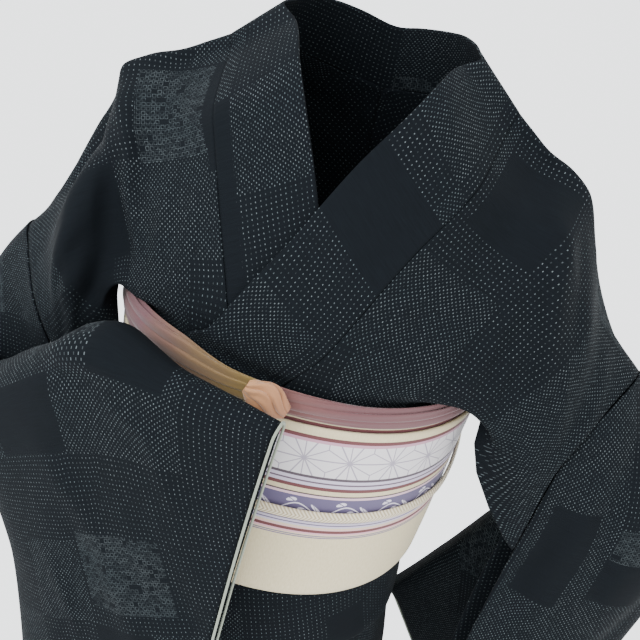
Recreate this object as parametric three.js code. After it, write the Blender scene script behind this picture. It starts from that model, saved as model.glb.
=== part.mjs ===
// A worn tsumugi kimono with its obi set, as hollow cloth walls. Millimetres, +Z up.
// The front faces -Y and the wearer's left is +X. The origin is the middle of the shoulder line.
import * as THREE from "three";

// The sizes that the garment is cut and tied to.
const CLOTH = 1.4; // wall of the kimono cloth with its lining
const SEAM = 0.3; // clearance between two pieces at a seam
const OBI_TOP = -240;
const OBI_HEIGHT = 160;
const OBI_CLOTH = 2.0;
const OBI_WRAP_STEP = 2.7; // from one turn of the obi to the next
const TUCK_EDGE = -470; // the lower edge of the fold at the waist
const TUCK_TOP = -408;
const HEM = -1320;
const SLEEVE_HEIGHT = 490;
const ARMHOLE = 230; // sewn length of the armhole, and the open length of the cuff
const OVERLAP = 4.0; // how far the left front lies above the right one
const SUNK = -1.0; // how far the right front draws in below its own line
const OBI_BOTTOM = OBI_TOP - OBI_HEIGHT;

const cloth = { color: 0x23282c, roughness: 0.9 };
const obiCloth = { color: 0xd9d2c1, roughness: 0.7 };
const scarf = { color: 0xa57f74, roughness: 0.75 };
const cordSilk = { color: 0xb8a98c, roughness: 0.6 };
const lining = { color: 0x7f8577, roughness: 0.7 };

const root = new THREE.Group();
root.name = "tsumugi_kimono";

const mix = (a, b, t) => a + (b - a) * t;
const clamp = (t) => Math.min(1, Math.max(0, t));
const smooth = (a, b, t) => {
  const s = clamp((t - a) / (b - a));
  return s * s * (3 - 2 * s);
};
const degrees = (a) => (a * Math.PI) / 180;

// A smooth value between four numbers, for t from the second to the third.
function between(a, b, c, d, t) {
  const t2 = t * t;
  const t3 = t2 * t;
  return 0.5 * (2 * b + (c - a) * t + (2 * a - 5 * b + 4 * c - d) * t2 + (3 * b - a - 3 * c + d) * t3);
}

// Reads a table with a key column: every other column as a smooth curve of the key that never overshoots.
function readTable(rows, key, at) {
  const rising = rows[rows.length - 1][key] > rows[0][key];
  let i = 0;
  while (i < rows.length - 2 && (rising ? at > rows[i + 1][key] : at < rows[i + 1][key])) i += 1;
  const span = rows[i + 1][key] - rows[i][key];
  const t = clamp((at - rows[i][key]) / span);
  const out = {};
  for (const name of Object.keys(rows[0])) {
    const slope = (k) => (rows[k + 1][name] - rows[k][name]) / (rows[k + 1][key] - rows[k][key]);
    const tangent = (k) => {
      if (k === 0) return slope(0);
      if (k === rows.length - 1) return slope(k - 1);
      const [a, b] = [slope(k - 1), slope(k)];
      return a * b <= 0 ? 0 : (2 * a * b) / (a + b);
    };
    const [m0, m1] = [tangent(i) * span, tangent(i + 1) * span];
    const [t2, t3] = [t * t, t * t * t];
    out[name] =
      (2 * t3 - 3 * t2 + 1) * rows[i][name] + (t3 - 2 * t2 + t) * m0 +
      (3 * t2 - 2 * t3) * rows[i + 1][name] + (t3 - t2) * m1;
  }
  return out;
}

// A point on the smooth curve through points, with t from 0 to 1 shared out by their number.
function along(points, t) {
  const place = clamp(t) * (points.length - 1);
  const i = Math.min(points.length - 2, Math.floor(place));
  const a = points[Math.max(0, i - 1)];
  const d = points[Math.min(points.length - 1, i + 2)];
  return points[i].map((value, k) => between(a[k], value, points[i + 1][k], d[k], place - i));
}

function add(name, geometry, look) {
  const material = new THREE.MeshStandardMaterial({ ...look, metalness: 0 });
  const mesh = new THREE.Mesh(geometry, material);
  mesh.name = name;
  root.add(mesh);
}

// Vertex normals of a grid of points, rows by columns. A closed grid joins its last column to its first.
function gridNormals(rows, closed) {
  const wide = rows[0].length;
  const at = (i, j) => rows[i][closed ? (j + wide) % wide : Math.min(wide - 1, Math.max(0, j))];
  return rows.map((row, i) =>
    row.map((_, j) => {
      const down = new THREE.Vector3(...at(Math.min(rows.length - 1, i + 1), j));
      const up = new THREE.Vector3(...at(Math.max(0, i - 1), j));
      const right = new THREE.Vector3(...at(i, j + 1));
      const left = new THREE.Vector3(...at(i, j - 1));
      return down.sub(up).normalize().cross(right.sub(left).normalize()).normalize();
    }),
  );
}

// A closed body from a list of points and of faces with three or four corners, turned to face out.
function bodyOf(points, faces) {
  const index = [];
  for (const f of faces) {
    index.push(f[0], f[1], f[2]);
    if (f.length === 4) index.push(f[0], f[2], f[3]);
  }
  let volume = 0;
  for (let i = 0; i < index.length; i += 3) {
    const [a, b, c] = [0, 1, 2].map((k) => new THREE.Vector3(...points[index[i + k]]));
    volume += a.dot(b.cross(c));
  }
  if (volume < 0) {
    for (let i = 0; i < index.length; i += 3) [index[i], index[i + 1]] = [index[i + 1], index[i]];
  }
  const geometry = new THREE.BufferGeometry();
  geometry.setAttribute("position", new THREE.Float32BufferAttribute(points.flat(), 3));
  geometry.setIndex(index);
  return geometry;
}

// Cloth: the grid's surface with half the thickness on each side of it.
function wall(name, rows, thickness, look, closed = false) {
  const normals = gridNormals(rows, closed);
  const high = rows.length;
  const wide = rows[0].length;
  const points = [];
  for (const side of [0.5, -0.5]) {
    rows.forEach((row, i) =>
      row.forEach((p, j) => {
        points.push(new THREE.Vector3(...p).addScaledVector(normals[i][j], thickness * side).toArray());
      }),
    );
  }
  const id = (side, i, j) => side * high * wide + i * wide + (j % wide);
  const faces = [];
  const last = closed ? wide : wide - 1;
  for (let i = 0; i < high - 1; i += 1) {
    for (let j = 0; j < last; j += 1) {
      faces.push([id(0, i, j), id(0, i + 1, j), id(0, i + 1, j + 1), id(0, i, j + 1)]);
      faces.push([id(1, i, j), id(1, i, j + 1), id(1, i + 1, j + 1), id(1, i + 1, j)]);
    }
  }
  for (let j = 0; j < last; j += 1) {
    faces.push([id(0, 0, j), id(0, 0, j + 1), id(1, 0, j + 1), id(1, 0, j)]);
    faces.push([id(0, high - 1, j + 1), id(0, high - 1, j), id(1, high - 1, j), id(1, high - 1, j + 1)]);
  }
  if (!closed) {
    for (let i = 0; i < high - 1; i += 1) {
      faces.push([id(0, i + 1, 0), id(0, i, 0), id(1, i, 0), id(1, i + 1, 0)]);
      faces.push([id(0, i, wide - 1), id(0, i + 1, wide - 1), id(1, i + 1, wide - 1), id(1, i, wide - 1)]);
    }
  }
  add(name, bodyOf(points, faces), look);
}

// A solid strip along a path: flat or round in section, with its width along `across` at each point.
function strip(name, path, width, height, across, look, sides = 8, loop = false) {
  const points = [];
  const count = path.length;
  path.forEach((p, i) => {
    const next = new THREE.Vector3(...path[loop ? (i + 1) % count : Math.min(count - 1, i + 1)]);
    const before = new THREE.Vector3(...path[loop ? (i + count - 1) % count : Math.max(0, i - 1)]);
    const way = next.sub(before).normalize();
    const aside = new THREE.Vector3(...across(i));
    const wide = aside.clone().addScaledVector(way, -aside.dot(way)).normalize();
    const high = way.clone().cross(wide);
    for (let k = 0; k < sides; k += 1) {
      const a = (2 * Math.PI * k) / sides;
      const u = (Math.cos(a) * (typeof width === "function" ? width(i) : width)) / 2;
      const v = (Math.sin(a) * (typeof height === "function" ? height(i) : height)) / 2;
      points.push(new THREE.Vector3(...p).addScaledVector(wide, u).addScaledVector(high, v).toArray());
    }
  });
  const faces = [];
  const turns = loop ? count : count - 1;
  for (let i = 0; i < turns; i += 1) {
    for (let k = 0; k < sides; k += 1) {
      const a = i * sides;
      const b = ((i + 1) % count) * sides;
      faces.push([a + k, a + ((k + 1) % sides), b + ((k + 1) % sides), b + k]);
    }
  }
  if (!loop) {
    for (let k = 1; k < sides - 1; k += 1) {
      faces.push([0, k + 1, k]);
      const e = (count - 1) * sides;
      faces.push([e, e + k, e + k + 1]);
    }
  }
  add(name, bodyOf(points, faces), look);
}

// The kimono round the body: half width, and depth to the front and to the back, at each height.
const TRUNK = [
  { z: 20, w: 146, f: 74, b: 80 },
  { z: -60, w: 152, f: 92, b: 96 },
  { z: -120, w: 158, f: 116, b: 104 },
  { z: -180, w: 160, f: 136, b: 110 },
  { z: -198, w: 154, f: 134, b: 110 },
  { z: -212, w: 147, f: 127.5, b: 106 },
  { z: -240, w: 147, f: 127.5, b: 106 },
  { z: -300, w: 142, f: 132, b: 106 },
  { z: -400, w: 135, f: 141, b: 110 },
  { z: -470, w: 141, f: 146, b: 118 },
  { z: -520, w: 148, f: 146, b: 130 },
  { z: -600, w: 158, f: 146, b: 146 },
  { z: -800, w: 156, f: 140, b: 138 },
  { z: -1050, w: 150, f: 130, b: 126 },
  { z: -1320, w: 144, f: 124, b: 120 },
];

// A point round the body. The angle is 0 at the front and 90 at the wearer's left side.
function ring(angle, z, lift = 0) {
  const { w, f, b } = readTable(TRUNK, "z", z);
  const s = Math.sin(degrees(angle));
  const c = Math.cos(degrees(angle));
  const depth = c > 0 ? f : b;
  const r = 1 / Math.pow(Math.pow(Math.abs(s), 2.2) + Math.pow(Math.abs(c), 2.2), 1 / 2.2);
  return [s * r * (w + lift), -c * r * (depth + lift), z];
}

// The chest in front, by place across and height.
function chest(x, z, lift = 0) {
  const { w, f } = readTable(TRUNK, "z", z);
  const share = Math.min(0.98, Math.abs(x) / (w + lift));
  return [x, -(f + lift) * Math.pow(1 - Math.pow(share, 2.2), 1 / 2.2), z];
}

// How far a front lies off the ring: the left one over the right one, both level with the back at the side seams.
const overLift = (angle) => OVERLAP * smooth(-112, -100, angle) * (1 - smooth(66, 86, angle));
const underDive = (angle, z) =>
  -6.5 * smooth(-390, -408, z) * (1 - smooth(-480, -580, z)) * smooth(-86, -66, angle);

// The waist fold: the cloth goes down to the edge, up behind, and down again as the skirt.
const WAIST_FOLD = [
  { z: -226, lift: 0 },
  { z: OBI_TOP, lift: 0 },
  { z: -262, lift: 0 },
  { z: -300, lift: 0 },
  { z: -345, lift: 0 },
  { z: -388, lift: 0 },
  { z: -410, lift: 0 },
  { z: -440, lift: 0 },
  { z: TUCK_EDGE + 4, lift: 0 },
  { z: TUCK_EDGE, lift: -1.7 },
  { z: TUCK_EDGE + 4, lift: -3.4 },
  { z: -440, lift: -3.4 },
  { z: TUCK_TOP - 4, lift: -3.4 },
  { z: TUCK_TOP, lift: -5.1 },
  { z: TUCK_TOP - 4, lift: -6.8 },
  { z: -440, lift: -6.8 },
  { z: -470, lift: -6.8 },
  { z: -520, lift: -6.4 },
  { z: -600, lift: -5 },
  { z: -700, lift: -3 },
  { z: -850, lift: -1 },
  { z: -1000, lift: 0 },
  { z: -1160, lift: 0 },
  { z: HEM, lift: 0 },
];

// Sleeves: the top fold from the seam over the bent arm to the cuff. heading is the way the arm runs in plan
// and hang the way the cloth runs below it. arm, mid and low are half the space between the layers at the
// arm, lower down and at the bottom. inner is the share of that space on the layer nearer the body. drop is
// how much of the height hangs straight down, and sway how far the bottom hangs from under the top fold.
const RIGHT_SLEEVE = [
  { x: -262, y: 0, z: -218, heading: 194, hang: 262, arm: 50, mid: 18, low: 8, inner: 1, drop: 1, swayX: 84, swayY: -50 },
  { x: -286, y: -6, z: -262, heading: 216, hang: 285, arm: 46, mid: 20, low: 9, inner: 0.8, drop: 1, swayX: 124, swayY: -60 },
  { x: -298, y: -38, z: -316, heading: 262, hang: 288, arm: 42, mid: 22, low: 10, inner: 0.5, drop: 1, swayX: 148, swayY: -56 },
  { x: -254, y: -86, z: -312, heading: 312, hang: 312, arm: 36, mid: 24, low: 12, inner: 0.6, drop: 1, swayX: 106, swayY: -30 },
  { x: -176, y: -132, z: -246, heading: 333, hang: 333, arm: 32, mid: 24, low: 12, inner: 0.9, drop: 1, swayX: 54, swayY: -14 },
  { x: -118, y: -154, z: -196, heading: 340, hang: 340, arm: 27, mid: 20, low: 10, inner: 1, drop: 1, swayX: 30, swayY: -6 },
  { x: -56, y: -172, z: -208, heading: 346, hang: 346, arm: 19, mid: 13, low: 6, inner: 1, drop: 1, swayX: 8, swayY: -6 },
  { x: 20, y: -186, z: -211, heading: 350, hang: 350, arm: 9, mid: 6, low: 1.2, inner: 1, drop: 1, swayX: -12, swayY: -6 },
];
const LEFT_SLEEVE = [
  { x: 275, y: 0, z: -186, heading: -16, hang: 8, arm: 52, mid: 22, low: 8, inner: 1, drop: 1, swayX: -66, swayY: -46 },
  { x: 316, y: 4, z: -252, heading: 10, hang: 30, arm: 50, mid: 28, low: 10, inner: 1, drop: 1, swayX: -40, swayY: -38 },
  { x: 338, y: 24, z: -325, heading: 66, hang: 72, arm: 44, mid: 28, low: 12, inner: 0.4, drop: 1, swayX: -18, swayY: -12 },
  { x: 300, y: 50, z: -356, heading: 130, hang: 130, arm: 40, mid: 28, low: 12, inner: 0.4, drop: 0.98, swayX: 14, swayY: 12 },
  { x: 222, y: 56, z: -388, heading: 156, hang: 150, arm: 36, mid: 24, low: 8, inner: 0.9, drop: 0.96, swayX: 50, swayY: 22 },
  { x: 185, y: 72, z: -464, heading: 150, hang: 150, arm: 26, mid: 18, low: 6, inner: 1, drop: 0.9, swayX: 76, swayY: 22 },
  { x: 146, y: 98, z: -556, heading: 144, hang: 150, arm: 14, mid: 9, low: 1.2, inner: 1, drop: 0.78, swayX: 104, swayY: 8 },
];
const ARMHOLE_DROP = { left: 185, right: 155 }; // from the top fold down to where the sewn armhole ends

// Sets s on each row, from 0 at the seam to 1 at the cuff by length along the top fold.
function measureSleeve(rows) {
  const steps = rows.map((row, i) => {
    const last = rows[Math.max(0, i - 1)];
    return Math.hypot(row.x - last.x, row.y - last.y, row.z - last.z);
  });
  const total = steps.reduce((sum, step) => sum + step, 0);
  let done = 0;
  rows.forEach((row, i) => {
    done += steps[i];
    row.s = done / total;
  });
}
measureSleeve(RIGHT_SLEEVE);
measureSleeve(LEFT_SLEEVE);

// A point of a sleeve, with s from seam to cuff and h down the cloth from the top fold. The front layer,
// side 1, is the one sewn to the front of the body.
function sleevePoint(table, s, h, side) {
  const row = readTable(table, "s", s);
  const hand = table === LEFT_SLEEVE ? -1 : 1;
  const facing = degrees(mix(row.heading, row.hang, smooth(50, 260, h)) + 90 * hand);
  const n = [Math.cos(facing), Math.sin(facing)];
  const round = Math.sqrt(Math.max(0, 1 - Math.pow(1 - clamp(h / (row.arm * 1.5)), 2)));
  const belowArm = mix(row.arm, row.mid, smooth(row.arm * 1.2, ARMHOLE, h));
  const belowHole = mix(row.mid, row.low, smooth(ARMHOLE, SLEEVE_HEIGHT, h));
  const gap = (h < ARMHOLE ? belowArm : belowHole) * round * (side * hand > 0 ? row.inner : 1);
  const fall = 1 - Math.pow(1 - h / SLEEVE_HEIGHT, 3.2);
  const sunk = row.arm * 0.45 * clamp(h / (row.arm * 1.5));
  return [
    row.x + row.swayX * fall + n[0] * gap * side,
    row.y + row.swayY * fall + n[1] * gap * side,
    row.z - h * mix(1, row.drop, smooth(0, 200, h)) + sunk,
  ];
}

// Rows of the seam ring: where the layers are, from the bottom of the front up over the fold and down the back.
const SLEEVE_DOWN = [0, 12, 30, 55, 80, 102, 121.6, 155, 185, 235, 290, 360, 430, 476];

function sleeveRows(table, stations) {
  const rows = [];
  for (let i = 0; i <= stations; i += 1) {
    const s = i / stations;
    const row = [];
    for (let k = SLEEVE_DOWN.length - 1; k >= 1; k -= 1) row.push(sleevePoint(table, s, SLEEVE_DOWN[k], 1));
    for (const h of SLEEVE_DOWN) row.push(sleevePoint(table, s, h, -1));
    const front = sleevePoint(table, s, SLEEVE_HEIGHT - 6, 0.8);
    const under = sleevePoint(table, s, SLEEVE_HEIGHT - 3, 0);
    const back = sleevePoint(table, s, SLEEVE_HEIGHT - 6, -0.8);
    row.push(back, under, front);
    rows.push(row);
  }
  return rows;
}

// Shoulders and fronts above the obi. Each row is a level down the front: the collar seam, the breast,
// the hollow beside the arm, and the cloth over the arm. level is 0 at the shoulder and 1 at the obi.
const LEFT_FRONT = [
  { level: 0, cx: 116, cz: -6, bx: 148, bz: -29, px: 188, py: 0, pz: -52, ax: 222, ay: 0, az: -134 },
  { level: 0.22, cx: 103, cz: -48, bx: 138, bz: -66, px: 180, py: -58, pz: -84, ax: 218, ay: -48, az: -138 },
  { level: 0.48, cx: 74, cz: -98, bx: 128, bz: -118, px: 176, py: -76, pz: -140, ax: 214, ay: -80, az: -186 },
  { level: 0.7, cx: 46, cz: -154, bx: 112, bz: -166, px: 170, py: -86, pz: -196, ax: 202, ay: -84, az: -248 },
  { level: 0.78, cx: 37, cz: -172, bx: 105, bz: -180, px: 161, py: -90, pz: -210, ax: 186, ay: -86, az: -250 },
  { level: 0.86, cx: 28, cz: -188, bx: 92, bz: -191, px: 143, py: -94, pz: -212, ax: 167, ay: -66, az: -232 },
  { level: 0.93, cx: 18, cz: -202, bx: 79, bz: -202, px: 129, py: -98, pz: -208, ax: 159, ay: -54, az: -207 },
];
const RIGHT_FRONT = [
  { level: 0, cx: -112, cz: -8, bx: -150, bz: -32, px: -198, py: 2, pz: -60, ax: -200, ay: 0, az: -134 },
  { level: 0.22, cx: -98, cz: -44, bx: -140, bz: -66, px: -174, py: -50, pz: -92, ax: -204, ay: -56, az: -146 },
  { level: 0.48, cx: -76, cz: -98, bx: -126, bz: -118, px: -161, py: -64, pz: -150, ax: -190, ay: -92, az: -186 },
  { level: 0.7, cx: -52, cz: -150, bx: -108, bz: -158, px: -150, py: -74, pz: -180, ax: -178, ay: -92, az: -226 },
  { level: 0.76, cx: -46, cz: -164, bx: -102, bz: -167, px: -148, py: -80, pz: -188, ax: -173, ay: -88, az: -238 },
  { level: 0.82, cx: -39, cz: -177, bx: -94, bz: -174, px: -143, py: -88, pz: -196, ax: -155, ay: -84, az: -226 },
  { level: 0.88, cx: -31, cz: -188, bx: -85, bz: -182, px: -137, py: -92, pz: -198, ax: -155, ay: -66, az: -209 },
  { level: 0.94, cx: -20, cz: -202, bx: -76, bz: -192, px: -129, py: -95, pz: -200, ax: -155, ay: -50, az: -200 },
];

// The back the same way: neckline or centre seam, shoulder blade, behind the arm, over the arm.
const BACK = [
  { level: 0, cx: 114, cy: 2, cz: -7, bx: 148, by: 2, bz: -30, px: 192, py: 2, pz: -56, ax: 220, ay: 0, az: -138 },
  { level: 0.16, cx: 92, cy: 52, cz: -18, bx: 128, by: 42, bz: -34, px: 178, py: 40, pz: -66, ax: 228, ay: 38, az: -140 },
  { level: 0.32, cx: 52, cy: 92, cz: -36, bx: 98, by: 84, bz: -56, px: 162, py: 72, pz: -98, ax: 226, ay: 56, az: -168 },
  { level: 0.46, cx: 0.15, cy: 106, cz: -48, bx: 86, by: 100, bz: -86, px: 156, py: 82, pz: -132, ax: 218, ay: 58, az: -200 },
  { level: 0.7, cx: 0.15, cy: 113, cz: -130, bx: 80, by: 110, bz: -140, px: 150, py: 82, pz: -186, ax: 200, ay: 36, az: -244 },
  { level: 0.85, cx: 0.15, cy: 112, cz: -176, bx: 78, by: 106, bz: -180, px: 148, py: 68, pz: -196, ax: 174, ay: 28, az: -220 },
  { level: 0.94, cx: 0.15, cy: 110, cz: -196, bx: 76, by: 100, bz: -196, px: 142, py: 56, pz: -196, ax: 160, ay: 22, az: -200 },
];
const ARMHOLE_END = 0.7; // level where the armhole ends and the open slit under the arm starts

// The slit edges under the arms, from the end of the armhole in to the side of the body.
const SLITS = {
  leftFront: [[187, -76, -288], [162, -68, -254], [158, -48, -228], [160, -14, -207]],
  leftBack: [[206, -4, -300], [182, 12, -252], [168, 16, -222], [161, 5, -205]],
  rightFront: [[-163, -68, -304], [-142, -76, -252], [-157, -51, -222], [-159.5, -20, -211]],
  rightBack: [[-206, -2, -296], [-182, 12, -252], [-168, 16, -222], [-161, 5, -205]],
};

// The line at which the cloth goes in behind the obi scarf, by angle round the body.
const WAIST_LINE = [
  { angle: -180, z: -206 },
  { angle: -90, z: -209 },
  { angle: -60, z: -206 },
  { angle: -32, z: -203 },
  { angle: -10, z: -213 },
  { angle: 0, z: -215 },
  { angle: 30, z: -218 },
  { angle: 60, z: -214 },
  { angle: 90, z: -209 },
  { angle: 180, z: -206 },
];
const waistZ = (angle) => readTable(WAIST_LINE, "angle", angle).z;

// The outer edge of a front or back at a level: down the armhole, then back along the slit to the side seam.
function outerEdge(table, hand, level, side) {
  const which = hand > 0 ? "left" : "right";
  const length = ARMHOLE_DROP[which];
  const out = hand * (SEAM + CLOTH);
  if (level <= ARMHOLE_END) {
    const p = sleevePoint(table, 0, (length * level) / ARMHOLE_END, side);
    return [p[0] - out, p[1], p[2]];
  }
  const bottom = sleevePoint(table, 0, length, side);
  const angle = hand * (side > 0 ? 89.8 : 90.2);
  const line = [
    [bottom[0] - out, bottom[1], bottom[2]],
    ...SLITS[which + (side > 0 ? "Front" : "Back")],
    ring(angle, waistZ(angle) + 3),
  ];
  return along(line, (level - ARMHOLE_END) / (1 - ARMHOLE_END));
}

const ACROSS = [0, 0.12, 0.25, 0.38, 0.5, 0.62, 0.75, 0.88, 1];

// One level of a front from the collar seam to the outer edge.
function frontLevel(table, sleeve, hand, level, lift) {
  const row = readTable(table, "level", level);
  const raised = lift * smooth(0, 0.3, level);
  const line = [
    chest(row.cx, row.cz, raised),
    chest(row.bx, row.bz, raised),
    [row.px, row.py, row.pz],
    [row.ax, row.ay, row.az],
    outerEdge(sleeve, hand, level, 1),
  ];
  const neck = 1 - smooth(0, 0.25, level);
  line[0][1] = mix(line[0][1], 0, neck);
  line[1][1] = mix(line[1][1], 0, neck);
  return ACROSS.map((u) => along(line, u));
}

function backLevel(sleeve, hand, level) {
  const row = readTable(BACK, "level", level);
  const line = [
    [hand * row.cx, row.cy, row.cz],
    [hand * row.bx, row.by, row.bz],
    [hand * row.px, row.py, row.pz],
    [hand * row.ax, row.ay, row.az],
    outerEdge(sleeve, hand, level, -1),
  ];
  return ACROSS.map((u) => along(line, u));
}

// Where the inner edge of a body strip runs at the obi: it swings in to the middle, where the overlap panel starts.
const INNER_EDGE = [
  { z: -214, angle: 4, under: 4 },
  { z: -226, angle: 2, under: 2 },
  { z: OBI_TOP, angle: 0.1, under: 0.1 },
  { z: -300, angle: 0.1, under: -3 },
  { z: HEM, angle: 0.1, under: -3 },
];
const stripAngle = (u, z, back, over = true) => {
  const inner = readTable(INNER_EDGE, "z", z);
  return mix(back ? 0.06 : over ? inner.angle : inner.under, 89.8, Math.pow(u, 0.92));
};

// The levels of the rows: down the armhole they are where the sleeve has its own rows, then down the slit.
const armholeLevels = (hand) => {
  const length = ARMHOLE_DROP[hand > 0 ? "left" : "right"];
  return SLEEVE_DOWN.filter((h) => h > 0 && h <= length).map((h) => (h / length) * ARMHOLE_END);
};
const frontLevels = (hand) => [...armholeLevels(hand), ...(hand > 0 ? [0.82, 0.93] : [0.76, 0.82, 0.88, 0.94])];
const backLevels = (hand) => [...armholeLevels(hand), 0.82, 0.93];

// A body strip in one cut: from the front hem up over the shoulder and down the back to the hem.
function bodyStrip(name, sleeve, frontTable, hand) {
  const over = hand > 0;
  const waist = (back) =>
    ACROSS.map((u) => {
      const angle = hand * (back ? 180 - stripAngle(u, -214, true) : stripAngle(u, -214, false, over));
      return ring(angle, waistZ(angle), over && !back ? overLift(angle) : 0);
    });
  const lowerFront = WAIST_FOLD.map(({ z, lift }) =>
    ACROSS.map((u) => {
      const angle = hand * stripAngle(u, z, false, over);
      return ring(angle, z, lift + (over ? overLift(angle) : underDive(angle, z)));
    }),
  );
  const raised = over ? OVERLAP : SUNK;
  const upperFront = frontLevels(hand).map((level) => frontLevel(frontTable, sleeve, hand, level, raised));
  const ridge = frontLevel(frontTable, sleeve, hand, 0, 0);
  const upperBack = backLevels(hand).map((level) => backLevel(sleeve, hand, level));
  const lowerBack = WAIST_FOLD.map(({ z, lift }) =>
    ACROSS.map((u) => ring(hand * (180 - stripAngle(u, z, true)), z, lift)),
  );
  const front = [...lowerFront.reverse(), waist(false), ...upperFront.reverse()];
  const back = [...upperBack, waist(true), ...lowerBack];
  wall(name, [...front, ridge, ...back], CLOTH, cloth);
}

bodyStrip("body_left", LEFT_SLEEVE, LEFT_FRONT, 1);
bodyStrip("body_right", RIGHT_SLEEVE, RIGHT_FRONT, -1);

wall("sleeve_right", sleeveRows(RIGHT_SLEEVE, 18), CLOTH, cloth, true);
wall("sleeve_left", sleeveRows(LEFT_SLEEVE, 18), CLOTH, cloth, true);

// The roll of lining that shows round each cuff opening.
function cuffRoll(name, table) {
  const path = [];
  const length = ARMHOLE - 6;
  for (const side of [1, -1]) {
    const part = [];
    for (const h of [0, 10, 26, 48, 80, 120, 170, length]) part.push(sleevePoint(table, 1, h, side));
    if (side > 0) path.push(...part.reverse().slice(0, -1));
    else path.push(...part);
  }
  const row = readTable(table, "s", 1);
  const way = [Math.cos(degrees(row.heading)), Math.sin(degrees(row.heading)), 0];
  const out = SEAM + 1.6;
  const moved = path.map((p) => [p[0] + way[0] * out, p[1] + way[1] * out, p[2]]);
  strip(name, moved, 2.2, 2.6, () => way, lining, 6);
}
cuffRoll("cuff_lining_right", RIGHT_SLEEVE);
cuffRoll("cuff_lining_left", LEFT_SLEEVE);

// Front overlap panels, from the obi down to the hem: angle is where their front edge runs.
const OVERLAP_EDGE = [
  { z: -262, angle: 4 },
  { z: -300, angle: 12 },
  { z: -400, angle: 28 },
  { z: -470, angle: 34 },
  { z: -600, angle: 48 },
  { z: -850, angle: 58 },
  { z: -1320, angle: 60 },
];
const COLLAR_WIDTH = 75;

function overlapPanel(name, hand) {
  const over = hand > 0;
  const rows = WAIST_FOLD.slice(2).map(({ z, lift }) => {
    const edge = readTable(OVERLAP_EDGE, "z", z).angle;
    const seam = over ? 0.1 : 0.2 - readTable(INNER_EDGE, "z", z).under;
    return [0, 0.25, 0.5, 0.75, 1].map((u) => {
      const angle = -hand * mix(seam, edge, u);
      return ring(angle, z, lift + (over ? overLift(angle) : underDive(angle, z)));
    });
  });
  wall(name, rows, CLOTH, cloth);
}
overlapPanel("okumi_left", 1);
overlapPanel("okumi_right", -1);

// The collar: one long band from the end of the right front, round the neck, to the end of the left front.
// Behind, the table gives its free edge at the levels of the back neckline.
const COLLAR_BEHIND = [
  { level: 0, ix: 78, iy: 6, iz: 25 },
  { level: 0.16, ix: 66, iy: 46, iz: 26 },
  { level: 0.32, ix: 38, iy: 78, iz: 20 },
  { level: 0.46, ix: 0, iy: 94, iz: 10 },
];
const COLLAR_ACROSS = [0, 0.33, 0.67, 1];

// A row of the collar from the seam with the body to the free edge, starting clear of the seam.
function fromSeam(seam, edge) {
  const width = new THREE.Vector3(...edge).distanceTo(new THREE.Vector3(...seam));
  return COLLAR_ACROSS.map((u) => seam.map((value, k) => mix(value, edge[k], mix((SEAM + 1.1) / width, 1, u))));
}

const COLLAR_SLOPE = [
  { level: 0, slope: 40 },
  { level: 0.7, slope: 40 },
  { level: 0.78, slope: 32 },
  { level: 0.86, slope: 22 },
  { level: 0.93, slope: 12 },
];

function collarHalf(hand) {
  const over = hand > 0;
  const table = over ? LEFT_FRONT : RIGHT_FRONT;
  const sleeve = over ? LEFT_SLEEVE : RIGHT_SLEEVE;
  const rows = [fromSeam([0, 106, -48], [0, 94, 10])];
  for (const level of backLevels(hand).filter((one) => one < 0.45).reverse()) {
    const row = readTable(COLLAR_BEHIND, "level", level);
    rows.push(fromSeam(backLevel(sleeve, hand, level)[0], [hand * row.ix, row.iy, row.iz]));
  }
  rows.push(fromSeam(frontLevel(table, sleeve, hand, 0, 0)[0], [hand * 78, 6, 25]));
  for (const level of frontLevels(hand)) {
    const seam = frontLevel(table, sleeve, hand, level, over ? OVERLAP : SUNK)[0];
    const raised = over ? OVERLAP : 2 * SUNK * smooth(0.3, 0.5, level);
    const slope = degrees(readTable(COLLAR_SLOPE, "level", level).slope * (over ? 1 : 0.8));
    const stand = 1 - smooth(0, 0.42, level);
    const reach = [COLLAR_WIDTH * Math.cos(slope), COLLAR_WIDTH * Math.sin(slope)];
    const edge = chest(seam[0] - hand * reach[0], seam[2] + reach[1], raised);
    const free = [mix(edge[0], hand * 70, stand * 0.7), mix(edge[1], 0, stand * 0.8), mix(edge[2], 20, stand)];
    const flat = smooth(0.1, 0.42, level);
    rows.push(fromSeam(seam, free).map((p) => [p[0], mix(p[1], chest(p[0], p[2], raised)[1], flat), p[2]]));
  }
  const start = (z) => (z > -250 ? -readTable(INNER_EDGE, "z", z).angle : readTable(OVERLAP_EDGE, "z", z).angle);
  const across = (z, level) =>
    COLLAR_ACROSS.map((u) => {
      const angle = -hand * (start(z) + 0.5 + u * 31);
      return ring(angle, level ?? waistZ(angle), over ? overLift(Math.max(-90, angle)) : underDive(angle, z));
    });
  rows.push(across(-214, null));
  for (const z of [-226, -240, -262, -300, -345, -388, -410, -440, TUCK_EDGE + 4]) rows.push(across(z, z));
  return rows;
}
const collarRows = () => [...collarHalf(-1).reverse(), ...collarHalf(1).slice(1)];
wall("collar", collarRows(), 1.8, cloth);

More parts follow.
